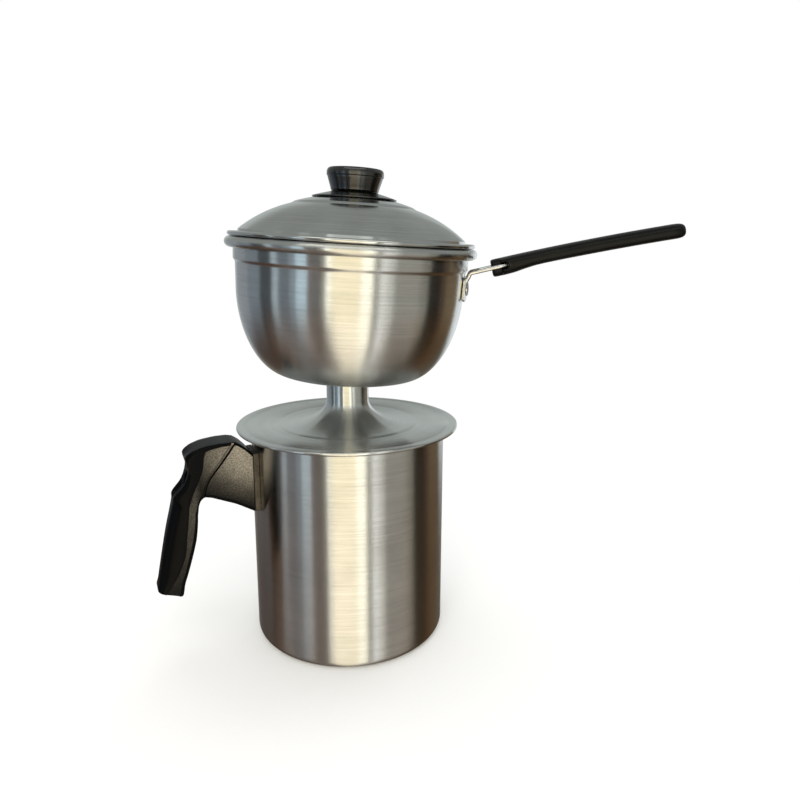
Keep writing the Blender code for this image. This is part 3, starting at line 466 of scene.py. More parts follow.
def cut_cross(screw: Object, top: float, reach: float, depth: float, width: float = 0.0008) -> None:
    """Cut a cross recess, tapered to its bottom, in an upright screw's head.

    Args:
        screw: The screw, standing on the origin.
        top: Height of its head's top.
        reach: Half the length of the cross.
        depth: Depth of the recess.
        width: Width of its arms.
    """
    tools = []
    for turn in (0.0, math.pi / 2):
        start_afresh()
        bpy.ops.mesh.primitive_cube_add(size=2)
        arm = bpy.context.object
        for vertex in arm.data.vertices:
            share = 1.0 if vertex.co.z > 0 else 0.45
            wide, long = vertex.co.y * width / 2 * share, vertex.co.x * reach * share
            vertex.co = Vector((long, wide, top + vertex.co.z * depth))
        put(arm, Matrix.Rotation(turn, 4, "Z"))
        tools.append(arm)
    combine(screw, tools, Boolean.CUT)


# Finishes

@dataclass(frozen=True)
class Finish:
    """A finish: the name of its material, and a slot name that nothing here reads."""

    name: str
    slot: str

    def surface(self, add: Adder, at: Socket, place: Matrix) -> dict:
        """Draw the surface, each kind of finish in its own way.

        Args:
            add: Adds a node.
            at: Object coordinates.
            place: Matrix of the piece's own axis: its origin and its Z direction.

        Returns:
            What the shader takes, by the input's name.
        """
        raise NotImplementedError

    def material(self, place: Matrix) -> Material:
        """Build a material with this finish.

        Args:
            place: Matrix of the piece's own axis.

        Returns:
            The material.
        """
        made = bpy.data.materials.new(self.name)
        add = empty_tree(made)
        shader = add("BsdfPrincipled", self.surface(add, add("TexCoord", output="Object"), place))
        add("OutputMaterial", {"Surface": shader})
        return made


@dataclass(frozen=True)
class SpunAluminium(Finish):
    """Bare aluminium sheet, spun on a lathe and rubbed round with fine abrasive.

    The lines round the axis draw a reflection out across them and leave it crisp along them, with
    slightly ragged borders. Real lines lie about 0.05 mm apart, too fine to show in a picture of the
    whole pot, so they are drawn four times as wide, with broader ones among them. The radius is a
    typical one of the piece, for the length of its streaks.
    """

    radius: float
    colour: str = "#CFD0CE"
    dull_colour: str = "#BDBDBA"
    scratch_colour: str = "#858380"
    roughness: float = 0.23
    unevenness: float = 0.03
    anisotropy: float = 1.0
    line_spacing: float = 0.00022
    streak_length: float = 0.03
    line_depth: float = 0.00002
    scratch_strength: float = 0.3

    def surface(self, add: Adder, at: Socket, place: Matrix) -> dict:
        """Draw lines round the axis, the smudges of handling, and a few scratches.

        Args:
            add: Adds a node.
            at: Object coordinates.
            place: Matrix of the piece's own axis, which the lines go round.

        Returns:
            What the shader takes, by the input's name.
        """
        axis = (place.to_3x3() @ Vector((0.0, 0.0, 1.0))).normalized()
        offset = add("VectorMath", {0: at, 1: place.to_translation()}, operation="SUBTRACT")
        height = add("VectorMath", {0: offset, 1: axis}, "Value", operation="DOT_PRODUCT")
        along = add("VectorMath", {0: axis, "Scale": height}, operation="SCALE")
        outwards = add("VectorMath", {0: offset, 1: along}, operation="SUBTRACT")
        distance = add("VectorMath", {0: outwards}, "Value", operation="LENGTH")
        heading = add("VectorMath", {0: outwards}, operation="NORMALIZE")
        round_it = add("VectorMath", {0: axis, 1: heading}, operation="CROSS_PRODUCT")
        where = (heading, axis, height, distance)
        fine, broad = (self.lines(add, where, *size) for size in ((1.0, 1.0), (0.4, 4.5)))
        some_broad = add("Math", {0: broad, 1: 0.25}, operation="MULTIPLY")
        handled = add("TexNoise", {"Vector": at, "Scale": 32.0, "Detail": 4.0})
        smudged = add("Math", {0: handled, 1: 0.4, 2: some_broad}, operation="MULTIPLY_ADD")
        tone = add("Math", {0: fine, 1: 0.35, 2: smudged}, operation="MULTIPLY_ADD")
        bright = add("MapRange", {"Value": tone, "From Min": 0.38, "From Max": 0.60})
        ends = {6: linear(self.dull_colour), 7: linear(self.colour)}
        sheet = add("Mix", {"Factor": bright, **ends}, **COLOUR_MIX)
        scratch = self.scratches(add, at)
        scratched = add("Mix", {"Factor": scratch, 6: sheet, 7: linear(self.scratch_colour)}, **COLOUR_MIX)
        most, least = self.roughness + self.unevenness, self.roughness - self.unevenness
        spread = {"From Min": 0.3, "From Max": 0.7, "To Min": most, "To Max": least}
        rough = add("MapRange", {"Value": tone, **spread})
        rougher = add("Math", {0: scratch, 1: 0.15, 2: rough}, operation="MULTIPLY_ADD")
        bump = add("Bump", {"Height": fine, "Distance": self.line_depth})
        return {
            "Metallic": 1.0, "Anisotropic": self.anisotropy, "Anisotropic Rotation": 0.25,
            "Base Color": scratched, "Roughness": rougher, "Normal": bump, "Tangent": round_it,
        }

    def lines(self, add: Adder, where: tuple, length: float, width: float) -> Socket:
        """Noise drawn out round the axis, which changes over one line spacing up or outwards.

        Args:
            add: Adds a node.
            where: Direction away from the axis, the axis, height along it and distance from it.
            length: Share of the streaks' number round the piece.
            width: How many line spacings wide they are.

        Returns:
            The noise, about 0.5.
        """
        heading, axis, height, distance = where
        streaks, count = self.radius * length / self.streak_length, 1 / (self.line_spacing * width)
        turn = add("VectorMath", {0: heading, "Scale": streaks}, operation="SCALE")
        steps_up = add("Math", {0: height, 1: count}, operation="MULTIPLY")
        up = add("VectorMath", {0: axis, "Scale": steps_up}, operation="SCALE")
        steps_out = add("Math", {0: distance, 1: count}, operation="MULTIPLY")
        both = add("VectorMath", {0: turn, 1: up}, operation="ADD")
        noise = {"Vector": both, "W": steps_out, "Scale": 1.0, "Detail": 2.0, "Roughness": 0.6}
        return add("TexNoise", noise, noise_dimensions="4D")

    def scratches(self, add: Adder, at: Socket) -> Socket:
        """Stray hairline scratches of use: level lines of a slow noise, broken up by another.

        Args:
            add: Adds a node.
            at: Object coordinates.

        Returns:
            The scratch strength on a scratch, and 0 off it.
        """
        slow = add("TexNoise", {"Vector": at, "Scale": 10.0, "Detail": 0.0})
        level = add("Math", {0: slow, 1: 0.52, 2: 0.001}, operation="COMPARE")
        patches = add("TexNoise", {"Vector": at, "Scale": 70.0, "Detail": 1.0})
        spread = {"From Min": 0.55, "From Max": 0.62, "To Max": self.scratch_strength}
        here = add("MapRange", {"Value": patches, **spread})
        return add("Math", {0: level, 1: here}, operation="MULTIPLY")


@dataclass(frozen=True)
class PlainMetal(Finish):
    """A metal that was cast, plated or turned: no brushing, but a slow unevenness in its shine."""

    colour: str
    dull_colour: str
    roughness: float
    unevenness: float = 0.05
    patch_size: float = 0.003
    pit_depth: float = 0.000006

    def surface(self, add: Adder, at: Socket, place: Matrix) -> dict:
        """Draw slow patches that are a little brighter and smoother.

        Args:
            add: Adds a node.
            at: Object coordinates.
            place: Not used, because the patches have no axis.

        Returns:
            What the shader takes, by the input's name.
        """
        patches = add("TexNoise", {"Vector": at, "Scale": 1 / self.patch_size, "Detail": 4.0})
        bright = add("MapRange", {"Value": patches, "From Min": 0.35, "From Max": 0.65})
        ends = {6: linear(self.dull_colour), 7: linear(self.colour)}
        colour = add("Mix", {"Factor": bright, **ends}, **COLOUR_MIX)
        most, least = self.roughness + self.unevenness, self.roughness - self.unevenness
        rough = add("MapRange", {"Value": bright, "To Min": most, "To Max": least})
        bump = add("Bump", {"Height": patches, "Distance": self.pit_depth})
        return {"Metallic": 1.0, "Base Color": colour, "Roughness": rough, "Normal": bump}


@dataclass(frozen=True)
class MouldedPlastic(Finish):
    """A moulded resin or plastic, glossy where its mould was polished and grained elsewhere.

    The grained share of the surface is read from the piece's own attribute, where it has one. On the
    jug's handle that attribute also holds a painted sheen: the panels are drawn paler high on the web
    near the jug and darker down the tail, as light falls there. The grain of the etched mould is about
    0.3 mm, drawn at 0.7 mm so that it shows.
    """

    colour: str
    grained_colour: str
    roughness: float
    grained_roughness: float = 0.55
    grain_size: float = 0.0007
    grain_depth: float = 0.00006
    polished_depth: float = 0.000006
    coat: float = 0.0
    specular: float = 0.5
    attribute: str = ""

    def surface(self, add: Adder, at: Socket, place: Matrix) -> dict:
        """Draw the grain, and the uneven shine of handling.

        Args:
            add: Adds a node.
            at: Object coordinates.
            place: Not used, because the grain has no axis.

        Returns:
            What the shader takes, by the input's name.
        """
        grain = add("TexNoise", {"Vector": at, "Scale": 1 / self.grain_size, "Detail": 2.0})
        handling = add("TexNoise", {"Vector": at, "Scale": 85.0, "Detail": 4.0})
        # On the jug's handle the attribute also carries a painted sheen
        if self.attribute:
            grained = add("Attribute", output="Fac", attribute_name=self.attribute)
        else:
            grained = add("MapRange", {"Value": handling, "From Min": 0.45, "From Max": 0.75})
        ends = {6: linear(self.colour), 7: linear(self.grained_colour)}
        base = add("Mix", {"Factor": grained, **ends}, **COLOUR_MIX)
        middle = {"From Min": 0.3, "From Max": 0.7}
        tone = add("MapRange", {"Value": handling, **middle, "To Min": 0.86, "To Max": 1.12})
        speckle = add("MapRange", {"Value": grain, **middle, "To Min": 0.5, "To Max": 1.5})
        both = add("Math", {0: tone, 1: speckle}, operation="MULTIPLY")
        worn = add("Mix", {"Factor": 1.0, 6: base, 7: both}, blend_type="MULTIPLY", **COLOUR_MIX)
        rough, depth = (
            add("MapRange", {"Value": grained, "To Min": polished, "To Max": etched})
            for polished, etched in (
                (self.roughness, self.grained_roughness), (self.polished_depth, self.grain_depth)
            )
        )
        uneven = add("Math", {0: handling, 1: 0.12, 2: rough}, operation="MULTIPLY_ADD")
        raised = add("Math", {0: grain, 1: depth}, operation="MULTIPLY")
        bump = add("Bump", {"Height": raised, "Distance": 1.0})
        return {
            "Base Color": worn, "Roughness": uneven, "Normal": bump, "Coat Weight": self.coat,
            "Specular IOR Level": self.specular,
        }


# Lathe-spun aluminium, rubbed bright: pale grey, with soft bands drawn out up and down
JUG_METAL = SpunAluminium("jug_spun_aluminium", "jug_aluminium", 0.060)
PLATE_METAL = SpunAluminium(
    "plate_spun_aluminium", "plate_aluminium", 0.042, colour="#D9DAD8", dull_colour="#CDCECC",
    roughness=0.24, line_depth=0.000003,
)
BOWL_METAL = SpunAluminium("bowl_spun_aluminium", "bowl_aluminium", 0.0672)
LID_METAL = SpunAluminium(
    "lid_spun_aluminium", "lid_aluminium", 0.04704, dull_colour="#B6B7B5", roughness=0.14,
    anisotropy=0.6, line_depth=0.000001, scratch_strength=0.12,
)
# The same sheet, punched and rubbed less finely: broad faint bands
GRID_METAL = SpunAluminium("grid_punched_aluminium", "grid_aluminium", 0.04032, line_spacing=0.0014)
# Die-cast aluminium, vibration finished: even grey without lines
CAST_METAL = PlainMetal("bracket_cast_aluminium", "bracket_aluminium", "#5A544B", "#4B463E", 0.50)
# Soft aluminium, headed cold: pale and dull
RIVET_METAL = PlainMetal("rivet_soft_aluminium", "rivet_aluminium", "#CFCFCE", "#B5B5B4", 0.36)
# Nickel-plated steel: bright, with a sharp highlight
PLATED_METAL = PlainMetal("nickel_plated_steel", "plated_steel", "#D5D6D6", "#B9BABA", 0.17)
# Brass turned from bar: yellow and bright
BRASS_METAL = PlainMetal("turned_brass", "insert_brass", "#D6B268", "#BF9A52", 0.28)
# Compression-moulded phenolic: black-brown, polished top, grained sides with a painted pale sheen
HANDLE_RESIN = MouldedPlastic(
    "handle_moulded_phenolic", "handle_phenolic", "#030303", "#8E8574", 0.26,
    grained_roughness=0.5, specular=0.07, attribute="grain",
)
# The same resin from a polished mould: black and glossy
KNOB_RESIN = MouldedPlastic(
    "knob_polished_phenolic", "knob_phenolic", "#060505", "#0A0908", 0.17, grained_roughness=0.14,
    grain_depth=0.000004, polished_depth=0.000002, coat=0.3, specular=0.75,
)
# Injection-moulded black plastic: satin, with a faint grain
GRIP_PLASTIC = MouldedPlastic(
    "grip_moulded_plastic", "grip_plastic", "#070706", "#0F0F0B", 0.30, grained_roughness=0.38,
    grain_depth=0.000030, polished_depth=0.000015, specular=0.17,
)


def fit(piece: Object, node: str, body: str, finish: Finish, place: Matrix = AS_BUILT) -> None:
    """Put a piece in its place, dress it, and let it ride on its body for its plain solid.

    Args:
        piece: The piece.
        node: The solid that it stands for.
        body: The body that it moves with.
        finish: Its finish.
        place: The matrix that takes it from where it was built to its place.
    """
    put(piece, place)
    piece.data.materials.clear()
    piece.data.materials.append(finish.material(place))
    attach(piece, body)
    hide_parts(node)
    log.info("%s: %d faces, for %s", piece.name, len(piece.data.polygons), node)


# Sub-assemblies

@dataclass
class BoilerJug:
    """The boiling jug: a spun cylinder with a rolled rim and a small pouring lip."""

    radius: float = 0.060
    drawn_in: float = 0.0004
    wall: float = 0.0012
    base: float = 0.0016
    corner: float = 0.005
    height: float = 0.1336
    bead: float = 0.0015
    spout_reach: float = 0.0046
    spout_height: float = 0.026
    spout_half_angle: float = math.radians(30)

    def outer_radius(self, height: float) -> float:
        """Outside radius of the wall at a height."""
        return self.radius - self.drawn_in * height / self.height

    def mouth_radius(self) -> float:
        """Inside radius at the mouth."""
        return self.outer_radius(self.height) - self.wall

    def push_spout(self, place: Vector) -> Vector:
        """Push a point of the wall out where the pouring lip is.

        Args:
            place: A point of the turned jug.

        Returns:
            Its place in the finished jug.
        """
        rise = (place.z - self.height + self.spout_height) / self.spout_height
        turn = math.atan2(place.y, place.x) / self.spout_half_angle
        if rise <= 0 or abs(turn) >= 1:
            return place.copy()
        push = self.spout_reach * min(rise, 1.0) ** 1.6 * math.cos(turn * math.pi / 2) ** 2
        return place + push * Vector((place.x, place.y, 0.0)).normalized()

    def outline(self) -> list[Point]:
        """Outline of the jug.

        Returns:
            The points from the middle of the floor inside, over the rim, to the middle underneath.
        """
        inner = self.corner - self.wall
        rim = (self.mouth_radius() + self.bead, self.height - self.bead)
        tucked = -math.degrees(math.acos((self.outer_radius(rim[1]) - rim[0]) / self.bead))
        lip_rows = [self.height - self.spout_height * (1 - 0.05 * i) for i in range(18)]
        rows = [self.height * share for share in (0.12, 0.25, 0.4, 0.55, 0.68)] + lip_rows
        points = [(0.0, self.base), (self.radius * 0.5, self.base)]
        points += arc((self.radius - self.corner, self.base + inner), inner, -90, 0, 8)
        points += [(self.outer_radius(z) - self.wall, z) for z in rows]
        points += arc(rim, self.bead, 180, tucked, 18)
        points += [(self.outer_radius(z), z) for z in reversed(rows)]
        points += arc((self.radius - self.corner, self.corner), self.corner, 0, -90, 12)
        return points + [(self.radius * 0.5, 0.0), (0.0, 0.0)]

    def build(self) -> None:
        """Spin the jug, push its lip out and dress it."""
        jug = turned("spun_jug", self.outline(), ROUND)
        reshape(jug, self.push_spout)
        fit(jug, "boiler_jug", "boiler", JUG_METAL)


@dataclass
class JugHandle:
    """The moulded handle with the cast bracket, two rivets and the screw that hold it.

    Each of its rows, from the bracket to the tip of the tail, has the inner and the outer point as
    shares of reach and fall, then the share of the depth with flat sides, the share with a grained
    panel, and how much of a thumb rest there is. The groove's rows are place and radius.
    """

    jug: BoilerJug
    width: float = 0.020
    end_width: float = 0.016
    ridge_width: float = 0.005
    rest_width: float = 0.0130
    rest_dish: float = 0.0018
    edge: float = 0.0012
    reach: float = 0.0571
    fall: float = 0.0903
    setback: float = 0.0015
    panel_recess: float = 0.00035
    panel_lip: float = 0.0005
    panel_margin: float = 0.0001
    bracket_thickness: float = 0.0022
    bracket_setback: float = 0.0096
    bracket_height: float = 0.0355
    bracket_edge: float = 0.0005
    boss_radius: float = 0.005
    boss_length: float = 0.0105
    boss_setback: float = 0.0122
    boss_edge: float = 0.0003
    rivet_radius: float = 0.002
    rivet_margin: float = 0.0037
    rivet_head: float = 0.0036
    screw_radius: float = 0.002
    screw_length: float = 0.0245
    screw_head: Point = (0.0038, 0.0024)
    screw_edges: Point = (0.0002, 0.0006)
    cross_depth: float = 0.0014
    clearance: float = 0.0004
    groove_cover: float = 0.0004
    groove: tuple = (
        (0.0719, 0.1328, 0.0014), (0.0775, 0.1251, 0.0013), (0.0826, 0.1185, 0.0012),
        (0.0870, 0.1129, 0.0010), (0.0897, 0.1076, 0.0009), (0.0907, 0.1020, 0.0008),
    )
    # Where the painted sheen lies on the grained panels, with painted shade low on the tail
    web_slope: float = 0.33
    pale_from: float = 0.1
    pale_over: float = 0.028
    hand_low: float = 0.04
    hand_over: float = 0.045
    tail_from: float = 0.092
    tail_over: float = 0.004
    tail_pale: float = 0.2
    most_pale: float = 0.95
    least_pale: float = 0.015
    tail_row: int = 11
    rows: tuple = (
        ((0.088, 0.550), (0.088, 0.967), 0.97, 0.965, 0.0),
        ((0.180, 0.584), (0.180, 1.000), 0.97, 0.965, 0.0),
        ((0.298, 0.617), (0.306, 1.000), 0.96, 0.955, 0.0),
        ((0.412, 0.648), (0.455, 0.990), 0.93, 0.925, 0.0),
        ((0.451, 0.655), (0.525, 0.978), 0.92, 0.60, 0.0),
        ((0.490, 0.659), (0.595, 0.960), 0.88, 0.42, 0.2),
        ((0.527, 0.642), (0.650, 0.926), 0.80, 0.34, 0.7),
        ((0.546, 0.618), (0.629, 0.859), 0.74, 0.42, 1.0),
        ((0.555, 0.594), (0.650, 0.794), 0.70, 0.50, 1.0),
        ((0.560, 0.569), (0.692, 0.739), 0.62, 0.50, 1.0),
        ((0.566, 0.545), (0.778, 0.678), 0.42, 0.41, 0.7),
        ((0.569, 0.512), (0.792, 0.639), 0.41, 0.40, 0.1),
        ((0.578, 0.456), (0.825, 0.556), 0.39, 0.38, 0.0),
        ((0.597, 0.379), (0.869, 0.447), 0.36, 0.35, 0.0),
        ((0.639, 0.279), (0.919, 0.301), 0.31, 0.29, 0.0),
        ((0.692, 0.168), (0.965, 0.157), 0.39, 0.38, 0.0),
        ((0.732, 0.091), (0.982, 0.102), 0.55, 0.54, 0.0),
        ((0.753, 0.020), (0.996, 0.064), 0.68, 0.67, 0.0),
        ((0.771, 0.000), (0.984, 0.047), 0.72, 0.71, 0.0),
    )

    def face(self) -> float:
        """Distance of the bracket's flat face from the jug's axis."""
        return self.jug.radius + self.bracket_thickness

    def top(self) -> float:
        """Height of the bracket's top."""
        return self.jug.height - self.bracket_setback

    def bottom(self) -> float:
        """Height of the bracket's bottom."""
        return self.top() - self.bracket_height

    def boss_height(self) -> float:
        """Height of the boss and of the handle screw."""
        return self.top() - self.boss_setback

    def stations(self) -> list[list[float]]:
        """Numbers of many rings along the handle, from the bracket to the tip of its tail.

        Returns:
            Rows with the inner and the outer point, the half width, and a row's three shares.
        """
        seam = self.face() + GAP
        low = self.jug.height - self.setback - self.fall
        given = [[seam, self.bottom(), seam, self.top(), self.width / 2, *self.rows[0][2:]]]
        for i, (inner, outer, *rest) in enumerate(self.rows):
            tail = max(0.0, (i - self.tail_row) / (len(self.rows) - 1 - self.tail_row))
            half = (self.width + (self.end_width - self.width) * tail**2) / 2
            places = (
                seam + inner[0] * self.reach, low + inner[1] * self.fall,
                seam + outer[0] * self.reach, low + outer[1] * self.fall,
            )
            given.append([*places, half, *rest])
        furthest = max(row[2] for row in given)
        made = []
        for row in curve_through(given, 6):
            made.append([
                min(row[0], furthest), max(row[1], low),
                min(row[2], furthest), min(max(row[3], low), low + self.fall), *row[4:],
            ])
        for share in range(6):
            made[len(made) - 1 - share][4] -= self.edge * (1 - math.sqrt(1 - (1 - share / 6) ** 2))
        return made

    def ring(self, station: Sequence[float]) -> tuple[Ring, list[bool]]:
        """One ring of the handle: a grained side panel, and a polished crown on the outer side.

        Args:
            station: A row of numbers from the stations.

        Returns:
            The ring's points, and whether each lies on a grained panel.
        """
        inner, outer = Vector(station[0:2]), Vector(station[2:4])
        half, flat, grain_end, rest = station[4:8]
        depth = (outer - inner).length
        spare = half - self.edge - self.ridge_width / 2
        ridge = self.ridge_width / 2 + spare * max(0.0, (flat - 0.5) / 0.47)
        ridge += max(0.0, self.rest_width / 2 - ridge) * clamp(rest)
        grain_end = min(grain_end, flat - self.panel_margin / depth)
        corner = min(self.edge / depth, flat / 2)
        lip, bevel = self.panel_lip / depth, self.panel_recess / depth
        low, high = corner + lip, grain_end - bevel
        profile = [(0.0, half - 2 * self.edge, False)]
        for a in quarter(5):
            profile.append((corner * (1 - math.cos(a)), half - self.edge * (1 - math.sin(a)), False))
        profile.append((low, half, False))
        sunk = half - self.panel_recess
        steps = (0.0, 0.06, 0.3, 0.5, 0.7, 0.94, 1.0)
        profile += [(low + bevel + (high - low - bevel) * s, sunk, True) for s in steps]
        profile += [(grain_end, half, False), (flat, half, False)]
        for a in quarter(12)[1:]:
            profile.append((flat + (1 - flat) * math.sin(a), ridge + (half - ridge) * math.cos(a), False))
        profile.append((1.0 - self.rest_dish * max(0.0, rest) / depth, ridge * 0.6, False))
        points, grained = [], []
        for side, part in ((1, profile), (-1, profile[::-1])):
            for share, across, mark in part:
                place = inner.lerp(outer, share)
                points.append(Vector((-place.x, side * across, place.y)))
                grained.append(mark)
        return points, grained

    def build_handle(self) -> None:
        """Loft the handle, cut its bores and its two grooves, and mark its grained panels."""
        rings = [self.ring(station) for station in self.stations()]
        handle = lofted("moulded_jug_handle", [ring for ring, _ in rings])
        seam, z = self.face() + GAP, self.boss_height()
        seat = self.face() + self.boss_length / 2 + self.screw_length
        cuts = (
            (self.boss_radius, seam / 2, self.face() + self.boss_length + GAP),
            (self.screw_radius, seam / 2, 2 * seat),
            (self.screw_head[0], seat - GAP, 2 * seat),
        )
        tools = [
            rod("bore", Vector((-start, 0, z)), Vector((-end, 0, z)), radius + self.clearance, SMALL_ROUND)
            for radius, start, end in cuts
        ]
        line = curve_through(self.groove, 4)
        for side in (1, -1):
            across = side * (self.width / 2 - self.panel_recess - self.groove_cover)
            path = [Vector((-r, across, z)) for r, z, _ in line]
            tools.append(lofted("groove", tube_rings(path, [row[2] for row in line], 14)))
        combine(handle, tools, Boolean.CUT)
        self.mark_grain(handle, rings)
        fit(handle, "jug_handle", "boiler", HANDLE_RESIN)

    def mark_grain(self, handle: Object, rings: Sequence[tuple[Ring, list[bool]]]) -> None:
        """Keep at each corner of each face the grain's painted sheen, and 0 off the panels.

        Args:
            handle: The handle.
            rings: Its rings, with their marks.
        """
        marks = [mark for _, grained in rings for mark in grained]
        tree = KDTree(len(marks))
        for i, place in enumerate(place for ring, _ in rings for place in ring):
            tree.insert(place, i)
        tree.balance()
        # The attribute holds the panels and the painted sheen drawn on them
        grain = handle.data.attributes.new(HANDLE_RESIN.attribute, "FLOAT", "CORNER")
        for face in handle.data.polygons:
            on_panel = marks[tree.find(face.center)[1]] and abs(face.normal.y) > 0.8
            for corner in face.loop_indices:
                place = handle.data.vertices[handle.data.loops[corner].vertex_index].co
                grain.data[corner].value = self.grain_share(place) * on_panel

    def grain_share(self, place: Vector) -> float:
        """How pale the grain is drawn, as a painted sheen: most high on the web near the jug, a little
        high on the tail, and painted shade below.

        Args:
            place: A point of the handle.

        Returns:
            The share, up to 1.
        """
        underside = self.bottom() - self.web_slope * (place.x + self.face())
        up, inwards, hand, tail = (
            clamp(share) for share in (
                (place.z - underside) / self.bracket_height, (place.x + self.pale_from) / self.pale_over,
                (place.z - self.hand_low) / self.hand_over, (-place.x - self.tail_from) / self.tail_over,
            )
        )
        # Painted sheen up the web towards the jug; painted shade low on the tail
        web = min(self.most_pale, 2.0 * up**2.2) * (0.1 + 0.9 * inwards**1.5)
        return max(self.tail_pale * hand * tail, self.least_pale + web)

    def build_bracket(self) -> None:
        """Shape the bracket to the jug's wall, with the boss that takes the screw."""
        face, low, high, z = self.face(), self.bottom(), self.top(), self.boss_height()
        wall = self.jug.outer_radius(low) + GAP / 3
        depth = face - wall * math.cos(math.asin(self.width / 2 / wall)) + GAP
        start_afresh()
        bpy.ops.mesh.primitive_cube_add(size=1, location=(depth / 2 - face, 0, (high + low) / 2))
        bpy.context.object.scale = (depth, self.width, high - low)
        bracket = settle("cast_bracket")
        rounding = {"width": self.bracket_edge, "segments": 4}
        modify(bracket, "BEVEL", limit_method="ANGLE", angle_limit=SMOOTH_ANGLE, **rounding)
        shade(bracket)
        jug_wall = rod("jug_wall", Vector((0, 0, low / 2)), Vector((0, 0, self.jug.height)), wall, 2 * ROUND)
        combine(bracket, [jug_wall], Boolean.CUT)
        sunk, edge = self.bracket_thickness / 2, self.boss_edge
        tip = sunk + self.boss_length
        outline = shank(self.boss_radius, tip - edge) + [(self.boss_radius - edge, tip), (0.0, tip)]
        boss = turned("boss", outline, SMALL_ROUND)
        put(boss, turned_to(sunk - face, z, -math.pi / 2))
        combine(bracket, [boss], Boolean.JOIN)
        bore = self.screw_radius + self.clearance
        hole = rod("screw_hole", Vector((-face, 0, z)), Vector((-2 * face, 0, z)), bore, FASTENER_ROUND)
        combine(bracket, [hole], Boolean.CUT)
        fit(bracket, "handle_bracket", "boiler", CAST_METAL)

    def build_rivets(self) -> None:
        """Turn the two rivets, headed inside the jug, and set them through the wall."""
        seat = self.jug.mouth_radius() - GAP - self.rivet_head**2 / self.jug.radius
        length = self.face() - GAP - seat
        outline = shank(self.rivet_radius, length)
        outline += arc((0.0, length), (self.rivet_head, self.rivet_radius * 0.7), 0, 90, 12)
        places = (("lower", self.bottom() + self.rivet_margin), ("upper", self.top() - self.rivet_margin))
        for name, z in places:
            rivet = turned(f"{name}_round_head_rivet", outline, FASTENER_ROUND)
            place = turned_to(-self.face() + GAP, z, math.pi / 2)
            fit(rivet, f"bracket_rivet_{name}", "boiler", RIVET_METAL, place)

    def build_screw(self) -> None:
        """Turn the handle screw and cut the cross in its head."""
        (radius, height), (under, over) = self.screw_head, self.screw_edges
        outline = shank(self.screw_radius, self.screw_length)
        outline += [(radius - under, self.screw_length), (radius, self.screw_length + under)]
        outline += arc((radius - over, self.screw_length + height - over), over, 0, 80, 5)
        outline += [(0.0, self.screw_length + height)]
        screw = turned("cross_head_screw", outline, FASTENER_ROUND)
        cut_cross(screw, self.screw_length + height, radius * 0.62, self.cross_depth)
        start = self.face() + self.boss_length / 2
        place = turned_to(-start, self.boss_height(), -math.pi / 2)
        fit(screw, "handle_screw", "boiler", PLATED_METAL, place)

    def build(self) -> None:
        """Build all the pieces of the handle."""
        for step in (self.build_bracket, self.build_rivets, self.build_handle, self.build_screw):
            step()


